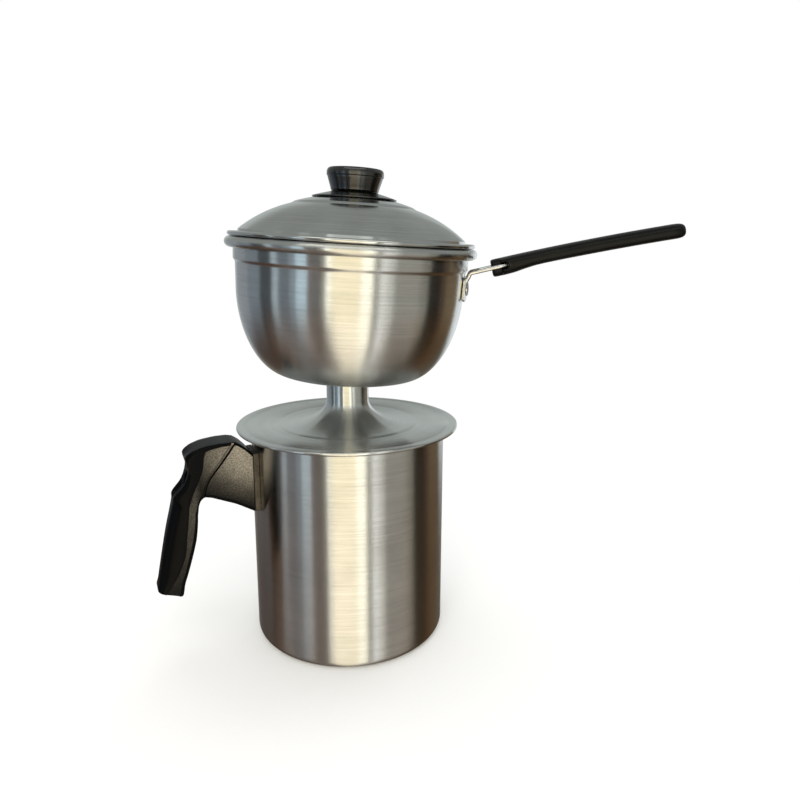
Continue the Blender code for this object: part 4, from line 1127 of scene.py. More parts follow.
@dataclass
class SteamHead:
    """The steam plate with its neck, spun from one sheet, that closes the jug and carries the bowl."""

    jug: BoilerJug
    overhang: float = 0.0082
    sheet: float = 0.0012
    edge: float = 0.0009
    skirt_clearance: float = 0.0004
    skirt_depth: float = 0.006
    neck: float = 0.013
    flare: Point = (0.0255, 0.0142)
    neck_length: float = 0.0304
    bend_length: float = 0.008
    shoulder: float = 0.0011
    shoulder_edge: float = 0.0003
    lip: Point = (0.0036, 0.0009)
    lip_bend: float = 0.0006
    groove_radii: Point = (0.0430, 0.0627)
    groove: Point = (0.0005, 0.00018)

    def top(self) -> float:
        """Height of the plate's top face."""
        return self.jug.height + GAP + self.sheet

    def seat(self) -> float:
        """Height of the bowl's bottom on the neck."""
        return self.top() + self.neck_length + GAP

    def spigot(self) -> float:
        """Outside radius of the neck's end that goes through the bowl's bottom."""
        return self.neck - self.shoulder

    def outline(self, washer_top: float) -> list[Point]:
        """Closed outline of plate, neck and skirt.

        Args:
            washer_top: Height of the washer above the bowl's bottom.

        Returns:
            The outline, over the top and back underneath.
        """
        top, under, seat, sheet = self.top(), self.top() - self.sheet, self.seat(), self.sheet
        foot, flare_top = self.neck + self.flare[0], self.top() + self.flare[1]
        lip_low = seat + washer_top + GAP
        lip_high, lip_out = lip_low + self.lip[1], self.spigot() + self.lip[0]
        rim, bore = self.jug.radius + self.overhang, self.spigot() - sheet
        skirt = self.jug.mouth_radius() - self.skirt_clearance
        bend, rounding, corner = self.lip_bend, self.lip[1] / 2, self.shoulder_edge
        rows = [seat - self.bend_length * i / 8 for i in range(1, 9)]
        points = arc((bore + bend, lip_high - bend), bend, 180, 90, 4)
        points += arc((lip_out - rounding, lip_high - rounding), rounding, 90, -90, 8)
        points += [(self.spigot(), lip_low), (self.spigot(), seat - GAP)]
        points += arc((self.neck - corner, seat - GAP - corner), corner, 90, 0, 3)
        points += [(self.neck, z) for z in rows]
        points += arc((foot, flare_top), self.flare, 180, 270, 24)
        wide, deep = self.groove
        for radius in self.groove_radii:
            points += [(radius - wide, top), (radius - wide / 2, top - deep * 0.7)]
            points += [(radius, top - deep), (radius + wide / 2, top - deep * 0.7), (radius + wide, top)]
        points += arc((rim - self.edge, top - self.edge), self.edge, 90, -90, 16)
        points += [(rim - 2 * self.edge, top - 2 * self.edge), (rim - 2 * self.edge, under)]
        points += [(skirt, under), (skirt, under - self.skirt_depth)]
        points += [(skirt - sheet, under - self.skirt_depth), (skirt - sheet, under)]
        points += arc((foot, flare_top), (self.flare[0] + sheet, self.flare[1] + sheet), 270, 180, 24)
        points += [(self.neck - sheet, z) for z in reversed(rows[2:])]
        return points + [(bore, rows[1])]

    def bend_neck(self, place: Vector) -> Vector:
        """Lean the end of the neck, where it was bent out of true.

        Args:
            place: A point of the upright plate and neck.

        Returns:
            Its place in the finished piece.
        """
        share = (place.z - self.seat() + self.bend_length) / (self.bend_length - GAP)
        pivot = Vector((0.0, 0.0, self.seat()))
        return pivot + lean(clamp(share)) @ (place - pivot)

    def build(self, washer_top: float) -> None:
        """Spin the plate and its neck, bend the neck's end and dress the piece.

        Args:
            washer_top: Height of the washer above the bowl's bottom.
        """
        plate = turned("spun_steam_plate", self.outline(washer_top), ROUND, closed=True)
        reshape(plate, self.bend_neck)
        fit(plate, "steam_plate", "steamer", PLATE_METAL)


@dataclass
class SteamerBowl:
    """The round-bottomed bowl that leans a little on the neck, its washer and its grid."""

    head: SteamHead
    mouth: float = 0.0672
    wall: float = 0.0012
    flat: float = 0.039
    round_height: float = 0.051
    round_power: float = 1.865
    taper: float = 0.0004
    step: float = 0.0012
    band_depth: float = 0.0141
    bead: float = 0.003
    height: float = 0.078
    washer: Point = (0.0053, 0.0011)
    washer_edge: float = 0.00015
    grid_height: float = 0.013
    grid_thickness: float = 0.0012
    grid_edge: float = 0.0002
    hole_radius: float = 0.002
    ring_step: float = 0.0108
    hole_rings: int = 4

    def place(self) -> Matrix:
        """Matrix that takes an upright piece to the leaning bowl."""
        return Matrix.Translation((0.0, 0.0, self.head.seat())) @ lean()

    def side(self) -> float:
        """Outside radius just under the step."""
        return self.mouth + self.wall - self.step

    def step_height(self) -> float:
        """Height of the foot of the step."""
        return self.height - self.band_depth

    def washer_top(self) -> float:
        """Height of the washer's top above the bowl's bottom."""
        return self.wall + GAP + self.washer[1]

    def round_part(self, inside: float, steps: int = 40) -> list[Point]:
        """Outline of the round part from the flat bottom up.

        Args:
            inside: How far inside the outer face it lies.
            steps: Number of stretches.

        Returns:
            The points.
        """
        reach = self.side() - self.taper - inside - self.flat
        height = self.round_height - inside
        points = []
        for i in range(steps + 1):
            angle = math.pi / 2 * (1 - i / steps)
            wide = math.cos(angle) ** (2 / self.round_power) if i else 0.0
            deep = math.sin(angle) ** (2 / self.round_power) if i < steps else 0.0
            points.append((self.flat + reach * wide, inside + height * (1 - deep)))
        return points

    def inside_radius(self, height: float) -> float:
        """Inside radius of the round part.

        Args:
            height: The height that it is wanted at.

        Returns:
            The radius.
        """
        reach = self.side() - self.taper - self.wall - self.flat
        depth = (self.round_height - height) / (self.round_height - self.wall)
        return self.flat + reach * (1 - depth**self.round_power) ** (1 / self.round_power)

    def wall_step(self, inside: float) -> list[Point]:
        """The step in the wall, rolled in as a soft S, upwards."""
        low, side = self.step_height(), self.side() - inside
        return [(side + self.step * eased(s), low + 2 * self.step * s) for s in shares(8)]

    def build_bowl(self) -> None:
        """Spin the bowl."""
        hole, band = self.head.spigot() + GAP, self.side() + self.step
        rim = (self.mouth + self.bead, self.height - self.bead)
        tucked = -math.degrees(math.acos((band - rim[0]) / self.bead))
        outline = [(hole, self.wall)] + self.round_part(self.wall)
        outline += self.wall_step(self.wall) + arc(rim, self.bead, 180, tucked, 26)
        outline += self.wall_step(0.0)[::-1] + self.round_part(0.0)[::-1] + [(hole, 0.0)]
        bowl = turned("spun_bowl", outline, ROUND, closed=True)
        fit(bowl, "steamer_bowl", "steamer", BOWL_METAL, self.place())

    def build_washer(self) -> None:
        """Turn the washer under the neck's rolled lip."""
        bore = self.head.spigot() + GAP
        rim, low = bore + self.washer[0], self.wall + GAP
        outline = washer(bore, rim, low, self.washer_top(), self.washer_edge)
        soft = turned("soft_washer", outline, SMALL_ROUND, closed=True)
        fit(soft, "bowl_washer", "steamer", RIVET_METAL, self.place())

    def build_grid(self) -> None:
        """Turn the grid and punch its rings of holes."""
        low, high, edge = self.grid_height, self.grid_height + self.grid_thickness, self.grid_edge
        under, over = self.inside_radius(low) - GAP, self.inside_radius(high) - GAP
        outline = [(0.0, low), (under - edge, low), (under, low + edge)]
        outline += [(over, high - edge), (over - edge, high), (0.0, high)]
        grid = turned("punched_grid", outline, ROUND)
        middle = Vector((0.0, 0.0, (low + high) / 2))
        lift = Vector((0.0, 0.0, 2 * self.grid_thickness))
        first = rod("punch", middle - lift, middle + lift, self.hole_radius, 28)
        punches = [first]
        for ring in range(1, self.hole_rings + 1):
            away = Matrix.Translation((ring * self.ring_step, 0.0, 0.0))
            for i in range(6 * ring):
                punch = first.copy()
                punch.data = first.data.copy()
                bpy.context.scene.collection.objects.link(punch)
                put(punch, Matrix.Rotation(math.tau * i / (6 * ring), 4, "Z") @ away)
                punches.append(punch)
        take_up(first)
        for punch in punches:
            punch.select_set(True)
        bpy.ops.object.join()
        combine(grid, [first], Boolean.CUT)
        fit(grid, "steam_grid", "grid", GRID_METAL, self.place())

    def build(self) -> None:
        """Build the bowl, its washer and the grid."""
        for step in (self.build_bowl, self.build_washer, self.build_grid):
            step()


@dataclass
class BowlHandle:
    """The bowl's handle: a riveted plate with a bright wire hairpin, and a moulded grip on it."""

    bowl: SteamerBowl
    turn: float = math.radians(-30)
    plate_thickness: float = 0.0014
    plate_half: Point = (0.012, 0.0068)
    plate_setback: float = 0.0016
    plate_corner: float = 0.002
    plate_edge: float = 0.0003
    rivet_radius: float = 0.0018
    rivet_head: float = 0.0037
    rivet_spread: float = 0.0052
    wire: float = 0.00115
    spread: float = 0.0085
    grip_spread: float = 0.006
    bend_radius: float = 0.0022
    leg_drop: float = 0.007
    standoff: float = 0.0005
    line_rise: float = 0.0021
    start_rise: float = math.radians(17)
    end_rise: float = math.radians(12.5)
    length: float = 0.123
    grip_start: float = 0.0144
    nose_length: float = 0.0052
    nose_half: float = 0.0066
    grip_half: float = 0.0102
    end_half: float = 0.0086
    grip_top: float = 0.0045
    grip_bottom: float = 0.0038
    chin: float = 0.0018
    chin_length: float = 0.024
    shoulder_length: float = 0.0008
    tip_length: float = 0.010
    pocket: tuple[float, float, float] = (0.0031, 0.0034, 0.0023)
    wire_depth: float = 0.066
    tunnel_clearance: float = 0.00035
    grip_sides: int = 44
    squaring: float = 0.75  # of a ring's outline, where 1 is an ellipse and less is squarer
    tip_squaring: float = 0.4545

    def place(self) -> Matrix:
        """Matrix that takes an upright piece along +X to its place at the bowl."""
        return self.bowl.place() @ Matrix.Rotation(self.turn, 4, "Z")

    def plate_top(self) -> float:
        """Height of the plate's top above the bowl's bottom."""
        return self.bowl.step_height() - self.plate_setback

    def shoulder(self) -> float:
        """Where the grip's nose ends, along the handle."""
        return self.grip_start + self.nose_length

    def point(self, along: float, across: float = 0.0, above: float = 0.0) -> Vector:
        """A place measured from the handle's arched middle line.

        Args:
            along: Length along the line.
            across: Distance to the side.
            above: Distance above the line.

        Returns:
            The place, before the handle is put at the bowl.
        """
        bend = (self.end_rise - self.start_rise) / self.length
        rise = self.start_rise + bend * along
        out = self.bowl.side() + self.wire + (math.sin(rise) - math.sin(self.start_rise)) / bend
        up = self.plate_top() + self.line_rise - (math.cos(rise) - math.cos(self.start_rise)) / bend
        return Vector((out - above * math.sin(rise), across, up + above * math.cos(rise)))

    def leg(self, side: int) -> list[Vector]:
        """Middle line of one wire leg, from the plate to the hairpin.

        Args:
            side: 1 or -1.

        Returns:
            The points.
        """
        band = math.sqrt((self.bowl.side() + self.bowl.step) ** 2 - self.spread**2)
        upright = band + self.wire + self.standoff
        plate = self.bowl.side() + GAP + self.plate_thickness / 2
        plate = math.sqrt(plate**2 - self.spread**2)
        corner = self.point(upright + self.bend_radius - self.point(0.0).x)
        bend = arc((upright + self.bend_radius, corner.z - self.bend_radius), self.bend_radius, 180, 105, 10)
        foot = corner.z - self.leg_drop
        third = (plate + (upright - plate) / 3, foot + self.leg_drop / 3)
        lead = [row[:2] for row in curve_through([(plate, foot), third, bend[0]], 5)][:-1]
        points = [Vector((out, side * self.spread, up)) for out, up in [*lead, *bend]]
        far = self.grip_start + self.wire_depth - self.grip_spread
        start, first = self.grip_start / 2, self.shoulder() - self.wire
        last = self.shoulder() + 6 * self.wire
        for along in (start + (far - start) * i / 40 for i in range(41)):
            share = clamp((along - first) / (last - first))
            across = self.spread + (self.grip_spread - self.spread) * eased(share)
            points.append(self.point(along, side * across))
        return points

    def wire_line(self) -> list[Vector]:
        """Middle line of the whole wire.

        Returns:
            The points, from one end at the plate to the other.
        """
        far = self.grip_start + self.wire_depth - self.grip_spread
        hairpin = arc((far, 0.0), self.grip_spread, 90, -90, 18)[1:-1]
        return self.leg(1) + [self.point(*place) for place in hairpin] + self.leg(-1)[::-1]

    def wire_tube(self, name: str, path: Sequence[Vector], radius: float) -> Object:
        """A round tube along the wire or a part of it."""
        return lofted(name, tube_rings(path, [radius] * len(path), 20))

    def build_frame(self) -> None:
        """Shape the plate to the bowl's wall and weld the wire to it."""
        radius, (half_width, half_height) = self.bowl.side() + GAP, self.plate_half
        middle, thick, corner = self.plate_top() - half_height, self.plate_thickness, self.plate_corner
        edge = self.plate_edge
        half_line = [-half_width + corner * s**1.5 for s in (0.0, 0.1, 0.25, 0.5, 0.75, 1.0)]
        half_line += [-half_width + corner + (half_width - corner) * s for s in shares(8)[1:]]
        rings = []
        for across in half_line + [-a for a in half_line[-2::-1]]:
            left = half_width - abs(across)
            cut_off = corner - math.sqrt(max(0.0, corner**2 - max(0.0, corner - left) ** 2))
            tall = half_height - cut_off
            profile = [(0.0, -tall + edge), (edge, -tall), (thick - edge, -tall), (thick, -tall + edge)]
            profile += [(depth, -up) for depth, up in reversed(profile)]
            around = towards(across / radius)
            rings.append([around * (radius + d) + Vector((0, 0, middle + up)) for d, up in profile])
        frame_plate = lofted("wire_frame", rings)
        combine(frame_plate, [self.wire_tube("hairpin", self.wire_line(), self.wire)], Boolean.JOIN)
        fit(frame_plate, "bowl_handle_frame", "steamer", PLATED_METAL, self.place())

    def build_rivets(self) -> None:
        """Turn the two rivets with their two heads, and set them through plate and wall."""
        outer = self.bowl.side() + GAP + self.plate_thickness + GAP
        inside = self.bowl.side() - self.bowl.taper - self.bowl.wall
        inner = inside * math.cos(math.pi / 36) - GAP
        length, tall, head = outer - inner, self.rivet_head * 0.29, self.rivet_head
        outline = [(0.0, -tall / 2), (head * 0.7, -tall / 2)]
        outline += arc((head * 0.7, 0.0), (head * 0.3, tall / 2), -70, 0, 4)
        outline += [(self.rivet_radius, 0.0), (self.rivet_radius, length)]
        outline += arc((0.0, length), (head, tall), 0, 90, 14)
        middle = Vector((0, 0, self.plate_top() - self.plate_half[1]))
        for name, side in (("near", 1), ("far", -1)):
            rivet = turned(f"{name}_frame_rivet", outline, FASTENER_ROUND)
            around = towards(side * self.rivet_spread / self.bowl.side())
            turn = around.to_track_quat("Z", "Y").to_matrix().to_4x4()
            place = self.place() @ Matrix.Translation(around * inner + middle) @ turn
            fit(rivet, f"plate_rivet_{name}", "steamer", PLATED_METAL, place)

    def grip_ring(self, along: float, half: float, above: float, below: float) -> Ring:
        """One ring of the grip, an oval flattened a little on its sides.

        Args:
            along: Where it lies along the handle.
            half: Its half width.
            above: Its height above the middle line.
            below: Its depth below it.

        Returns:
            The ring.
        """
        ring = []
        for i in range(self.grip_sides):
            angle = math.tau * (i + 0.5) / self.grip_sides
            wide, tall = math.cos(angle), math.sin(angle)
            across = half * math.copysign(abs(wide) ** self.squaring, wide)
            raised = (above if tall > 0 else below) * math.copysign(abs(tall) ** self.squaring, tall)
            ring.append(self.point(along, across, raised))
        return ring

    def grip_sections(self) -> list[list[float]]:
        """Sizes of many rings along the grip.

        Returns:
            Rows with the place, half width, height and depth of each.
        """
        start, end, shoulder = self.grip_start, self.length, self.shoulder()
        nose, width, tip = self.nose_half, self.grip_half, self.end_half
        top, bottom = self.grip_top, self.grip_bottom
        chin = bottom + self.chin
        nose_rows = [
            (start, nose * 0.86, top * 0.84, chin * 0.82),
            (start + self.nose_length / 5, nose, top, chin * 0.98),
            (shoulder, nose, top, chin),
        ]
        body_rows = [
            (shoulder + self.shoulder_length, width, top, chin),
            (shoulder + self.chin_length * 0.3, width, top, bottom + self.chin * 0.85),
            (shoulder + self.chin_length * 0.6, width, top, bottom + self.chin * 0.35),
            (shoulder + self.chin_length, (width * 3 + tip) / 4, top, bottom),
            ((shoulder + end) / 2, (width + tip) / 2, top, bottom),
            (end - self.tip_length, tip, top, bottom),
        ]
        made = curve_through(nose_rows, 4) + curve_through(body_rows, 6)
        for out in map(math.sin, quarter(13)[1:-1]):
            share, blunt = ((1 - out**power) ** self.tip_squaring for power in (3, 6))
            made.append([end - self.tip_length * (1 - out), tip * share, top * blunt, bottom * blunt])
        return made + [[end, tip * 0.12, top * 0.14, bottom * 0.14]]

    def build_grip(self) -> None:
        """Loft the grip, and cut the tunnel for the wire and the two side pockets."""
        grip = lofted("moulded_grip", [self.grip_ring(*row) for row in self.grip_sections()])
        reach = self.point(self.grip_start * 0.4).x
        path = [place for place in self.wire_line() if place.x > reach]
        tools = [self.wire_tube("tunnel", path, self.wire + self.tunnel_clearance)]
        for side in (1, -1):
            start_afresh()
            bpy.ops.mesh.primitive_uv_sphere_add(segments=40, ring_count=24, radius=1)
            bpy.context.object.scale = self.pocket
            hollow = settle("pocket")
            where = self.point(self.shoulder() + self.pocket[0] * 0.7, side * self.grip_half)
            put(hollow, Matrix.Translation(where) @ Matrix.Rotation(-self.start_rise, 4, "Y"))
            tools.append(hollow)
        combine(grip, tools, Boolean.CUT)
        fit(grip, "bowl_grip", "steamer", GRIP_PLASTIC, self.place())

    def build(self) -> None:
        """Build the frame, its rivets and the grip."""
        for step in (self.build_frame, self.build_rivets, self.build_grip):
            step()


@dataclass
class Lid:
    """The domed lid with its heat guard, and the knob with its insert, screw and washer."""

    bowl: SteamerBowl
    overhang: float = 0.0044
    sheet: float = 0.001
    bead: float = 0.00125
    ring_clearance: float = 0.0004
    ring: Point = (0.0022, 0.0029)
    crown_rise: float = 0.0267
    crown_ball: float = 0.111
    crown_edge: float = 0.0338
    step_width: float = 0.0028
    dome_drop: float = 0.0015
    dome_bulge: float = 0.00173
    dome_inset: float = 0.0012
    dome_lift: float = 0.0014
    guard_radius: float = 0.0245
    guard_sheet: float = 0.0008
    collar: Point = (0.0137, 0.0016)
    knob_foot: float = 0.0139
    knob_radius: float = 0.01645
    knob_top: float = 0.0146
    knob_height: float = 0.0124
    knob_band: float = 0.0045
    knob_dish: float = 0.0006
    band_edge: float = 0.00045
    band_notch: Point = (0.0005, 0.00035)
    notch_edge: Point = (0.00055, 0.0001)
    foot_flare: float = 0.0001
    screw_radius: float = 0.002
    screw_head: Point = (0.004, 0.002)
    cross_depth: float = 0.0012
    washer: Point = (0.006, 0.0008)
    washer_edge: float = 0.00015
    insert: Point = (0.0036, 0.008)
    insert_edge: float = 0.0003
    knurl: float = 0.00025
    clearance: float = 0.0004

    def bore(self) -> float:
        """Radius of the bore round the screw."""
        return self.screw_radius + self.clearance

    def knob_foot_height(self) -> float:
        """Height of the knob's foot above the bowl's bottom."""
        return self.bowl.height + self.crown_rise + self.collar[1] + GAP

    def crown(self, radius: float, sheet: float = 0.0) -> float:
        """Height of the raised middle, or of its underside, at a radius."""
        middle = self.bowl.height + self.crown_rise - self.crown_ball
        return middle + math.sqrt((self.crown_ball - sheet) ** 2 - radius**2)

    def dome(self, sheet: float, steps: int = 26) -> list[Point]:
        """Outline of the dome, from the raised middle's step to the locating ring.

        Args:
            sheet: How far under the top face it lies.
            steps: Number of stretches.

        Returns:
            The points, outwards.
        """
        flange = self.bowl.height + GAP + 2 * self.bead
        ring = self.bowl.mouth - self.ring_clearance
        start = Vector((self.crown_edge + self.step_width, self.crown(self.crown_edge) - self.dome_drop))
        end = Vector((ring - self.dome_inset, flange + self.dome_lift))
        chord = end - start
        radius = (chord.length_squared / 4 + self.dome_bulge**2) / (2 * self.dome_bulge)
        outwards = Vector((-chord.y, chord.x)).normalized()
        centre = (start + end) / 2 - outwards * (radius - self.dome_bulge)
        first, last = (math.degrees(math.atan2(p.y - centre.y, p.x - centre.x)) for p in (start, end))
        return arc((centre.x, centre.y), radius - sheet, first, last, steps)

    def crown_step(self, sheet: float) -> list[Point]:
        """The raised middle and the soft step down to the dome.

        Args:
            sheet: How far under the top face it lies.

        Returns:
            The points, outwards.
        """
        bore, edge, last = self.bore(), self.crown_edge, self.dome(sheet, 4)[0]
        points = [(r, self.crown(r, sheet)) for r in (bore + (edge - bore) * i / 16 for i in range(17))]
        start, slope = points[-1], -edge / math.sqrt(self.crown_ball**2 - edge**2)
        wide = last[0] - start[0]
        drop = last[1] - (start[1] + slope * wide)
        for s in shares(8)[1:-1]:
            points.append((start[0] + wide * s, start[1] + slope * wide * s + drop * eased(s)))
        return points

    def build_lid(self) -> None:
        """Spin the lid."""
        low, high = self.bowl.height + GAP, self.bowl.height + GAP + 2 * self.bead
        ring_out = self.bowl.mouth - self.ring_clearance
        ring_in, ring_low = ring_out - self.ring[0], low - self.ring[1]
        soft, over, under = self.ring_clearance, self.dome(0.0), self.dome(self.sheet)
        rim = (self.bowl.mouth + self.overhang - self.bead, low + self.bead)
        outline = self.crown_step(0.0) + over
        outline += [(over[-1][0] + soft, high - self.bead / 4), (ring_out, high - self.bead / 2)]
        outline += arc(rim, self.bead, 110, -90, 20)
        outline += arc((ring_out + soft, low - soft), soft, 90, 180, 4)
        outline += arc((ring_out - soft, ring_low + soft), soft, 0, -90, 4)
        outline += arc((ring_in + soft, ring_low + soft), soft, -90, -180, 4)
        outline += [(ring_in, under[-1][1] - soft)] + under[::-1] + self.crown_step(self.sheet)[::-1]
        fit(turned("spun_lid", outline, ROUND, closed=True), "lid", "lid", LID_METAL, self.bowl.place())

    def build_guard(self) -> None:
        """Turn the thin guard that keeps the lid's heat from the fingers."""
        sheet, collar, top = self.guard_sheet, self.collar[0], self.knob_foot_height() - GAP
        reach = self.guard_radius - sheet / 2
        radii = [collar + (reach - collar) * s for s in shares(8)]
        brim = [(r, self.crown(r) + GAP + sheet * (2.2 - 1.2 * s)) for r, s in zip(radii, shares(8))]
        outline = [(self.bore(), top)] + arc((collar - sheet / 2, top - sheet / 2), sheet / 2, 90, 0, 6)
        outline += [(collar, brim[0][1] + sheet / 3), (collar + sheet / 4, brim[0][1] + sheet / 12)]
        outline += brim[1:]
        outline += arc((brim[-1][0], brim[-1][1] - sheet / 2), sheet / 2, 80, -60, 6)
        outline += [(r, self.crown(r) + GAP) for r in (reach, collar, self.bore())]
        guard = turned("heat_guard", outline, SMALL_ROUND, closed=True)
        fit(guard, "knob_guard", "lid", KNOB_RESIN, self.bowl.place())

    def build_knob(self) -> None:
        """Turn the knob: a waisted side, a rounded band and a dished top."""
        low, foot = self.knob_foot_height(), self.knob_foot
        high, dish = low + self.knob_height, self.knob_dish
        band, top, radius = high - self.knob_band, self.knob_top, self.knob_radius
        hollow, hollow_top = self.insert[0] + GAP, low + self.insert[1] + 2 * GAP
        shoulder, edge = (radius - top, self.knob_band * 0.6), self.band_edge
        out, up = radius - self.band_notch[0], band - self.band_notch[1]
        outline = [(0.0, high - dish), (top * 0.7, high - dish)]
        outline += [(top * 0.85, high - dish * 0.75), (top * 0.95, high - dish * 0.2), (top, high)]
        outline += arc((top, high - shoulder[1]), shoulder, 80, 0, 12)
        outline += arc((radius - edge, band + edge), edge, 0, -60, 5)
        outline += [(radius - self.notch_edge[0], band - self.notch_edge[1])]
        wide, tall = foot + self.foot_flare - out, low + 2 * dish - up
        outline += [(out + wide * s, up + tall * s) for s in shares(6)]
        outline += arc((foot - dish, low + dish), dish, 0, -90, 5)
        outline += [(hollow, low), (hollow, hollow_top), (0.0, hollow_top)]
        knob = turned("polished_knob", outline, SMALL_ROUND * 2)
        fit(knob, "lid_knob", "lid", KNOB_RESIN, self.bowl.place())

    def build_fastening(self) -> None:
        """Turn the knurled insert, the washer and the screw."""
        place, bore, low = self.bowl.place(), self.bore(), self.knob_foot_height() + GAP
        radius, length = self.insert
        outline = washer(bore, radius, low, low + length, self.insert_edge)
        insert = turned("knurled_insert", outline, FASTENER_ROUND, closed=True)
        for vertex in insert.data.vertices:
            turn = math.atan2(vertex.co.y, vertex.co.x) * FASTENER_ROUND / math.tau
            if vertex.co.xy.length > radius - self.knurl / 2 and round(turn) % 2:
                vertex.co -= self.knurl * Vector((vertex.co.x, vertex.co.y, 0.0)).normalized()
        fit(insert, "knob_insert", "lid", BRASS_METAL, place)
        rim, thick = self.washer
        high = self.crown(rim, self.sheet) - GAP
        outline = washer(bore, rim, high - thick, high, self.washer_edge)
        plated = turned("plated_washer", outline, FASTENER_ROUND, closed=True)
        fit(plated, "knob_washer", "lid", PLATED_METAL, place)
        seat = high - thick - GAP
        length = low + length - GAP - seat
        radius, height = self.screw_head
        outline = shank(self.screw_radius, length)
        outline += [(radius, length)] + arc((0.0, length), (radius, height), 0, 90, 12)
        screw = turned("round_head_screw", outline, FASTENER_ROUND)
        cut_cross(screw, length + height, radius * 0.5, self.cross_depth)
        fit(screw, "knob_screw", "lid", PLATED_METAL, place @ turned_to(0, seat + length, math.pi, "X"))

    def build(self) -> None:
        """Build the lid and all that is fixed to it."""
        for step in (self.build_lid, self.build_guard, self.build_knob, self.build_fastening):
            step()


# Studio

def hide_from_all_but_shine(card: Object, material: Material) -> None:
    """Dress a card, and let only glossy rays see it, so that it lights nothing.

    Args:
        card: The card.
        material: Its glow.
    """
    card.data.materials.append(material)
    material.cycles.emission_sampling = "NONE"
    for ray in ("camera", "diffuse", "transmission", "volume_scatter", "shadow"):
        setattr(card, f"visible_{ray}", False)


@dataclass(frozen=True)
class ReflectorCard:
    """A tall card of a large ring round the object, seen only in its shine.

    Azimuths are in degrees round +Z from +X, and colours are hex, with a common strength. The
    upper tone changes to the lower one a little below the bowl, as a wall does to a floor, and to
    the pale top tone high up. The edge is in shares of radius and height, with its foot inwards.
    """

    name: str
    start: float
    end: float
    upper: str
    lower: str
    strength: float = 1.0
    radius: float = 3.0
    height: float = 3.0
    edge: tuple = ((0.2, -1.0), (0.6, -1.0), (1.0, -1.0), (1.0, -0.5), (1.0, 0.0), (1.0, 0.5), (1.0, 1.0))
    top: str = "#A0A4A1"
    tone_change: Point = (-1.05, -0.45)
    top_change: Point = (0.45, 1.05)

    def build(self) -> None:
        """Spin the card's upright edge through its stretch and hide it from all but reflections."""
        edge = [(self.radius * out, self.height * up) for out, up in self.edge]
        width = self.end - self.start
        card = turned(self.name, edge, max(2, round(width / 4)), angle=math.radians(width))
        put(card, Matrix.Rotation(math.radians(self.end), 4, "Z"))
        made = bpy.data.materials.new(self.name)
        add = empty_tree(made)
        height = add("SeparateXYZ", {"Vector": add("TexCoord", output="Object")}, "Z")
        colour = linear(self.lower)
        for (low, high), above in ((self.tone_change, self.upper), (self.top_change, self.top)):
            ends = {"Value": height, "From Min": low, "From Max": high}
            share = add("MapRange", ends, interpolation_type="SMOOTHSTEP")
            colour = add("Mix", {"Factor": share, 6: colour, 7: linear(above)}, **COLOUR_MIX)
        add("OutputMaterial", {"Surface": add("Emission", {"Color": colour, "Strength": self.strength})})
        hide_from_all_but_shine(card, made)


@dataclass(frozen=True)
class LevelCard:
    """A level card that only the shine sees, above or below all the others."""

    name: str
    height: float
    colour: str
    radius: float = 3.2

    def build(self) -> None:
        """Lay the card and hide it from all but reflections."""
        made = bpy.data.materials.new(self.name)
        add = empty_tree(made)
        glow = add("Emission", {"Color": linear(self.colour), "Strength": 1.0})
        add("OutputMaterial", {"Surface": glow})
        hide_from_all_but_shine(disc(self.name, self.radius, self.height, 64), made)


@dataclass(frozen=True)
class SoftLamp:
    """A square area lamp aimed at the object, with its place in degrees and metres."""

    name: str
    azimuth: float
    elevation: float
    distance: float
    size: float
    power: float
    colour: str

    def build(self) -> None:
        """Hang the lamp and aim it."""
        data = bpy.data.lights.new(self.name, "AREA")
        data.shape = "SQUARE"
        data.size = self.size
        data.energy = self.power
        data.color = linear(self.colour)[:3]
        lamp = bpy.data.objects.new(self.name, data)
        bpy.context.scene.collection.objects.link(lamp)
        elevation = math.radians(self.elevation)
        away = towards(math.radians(self.azimuth)) * math.cos(elevation)
        away.z = math.sin(elevation)
        lamp.location = AIM + away * self.distance
        lamp.rotation_euler = away.to_track_quat("Z", "Y").to_euler()
        lamp.visible_glossy = False


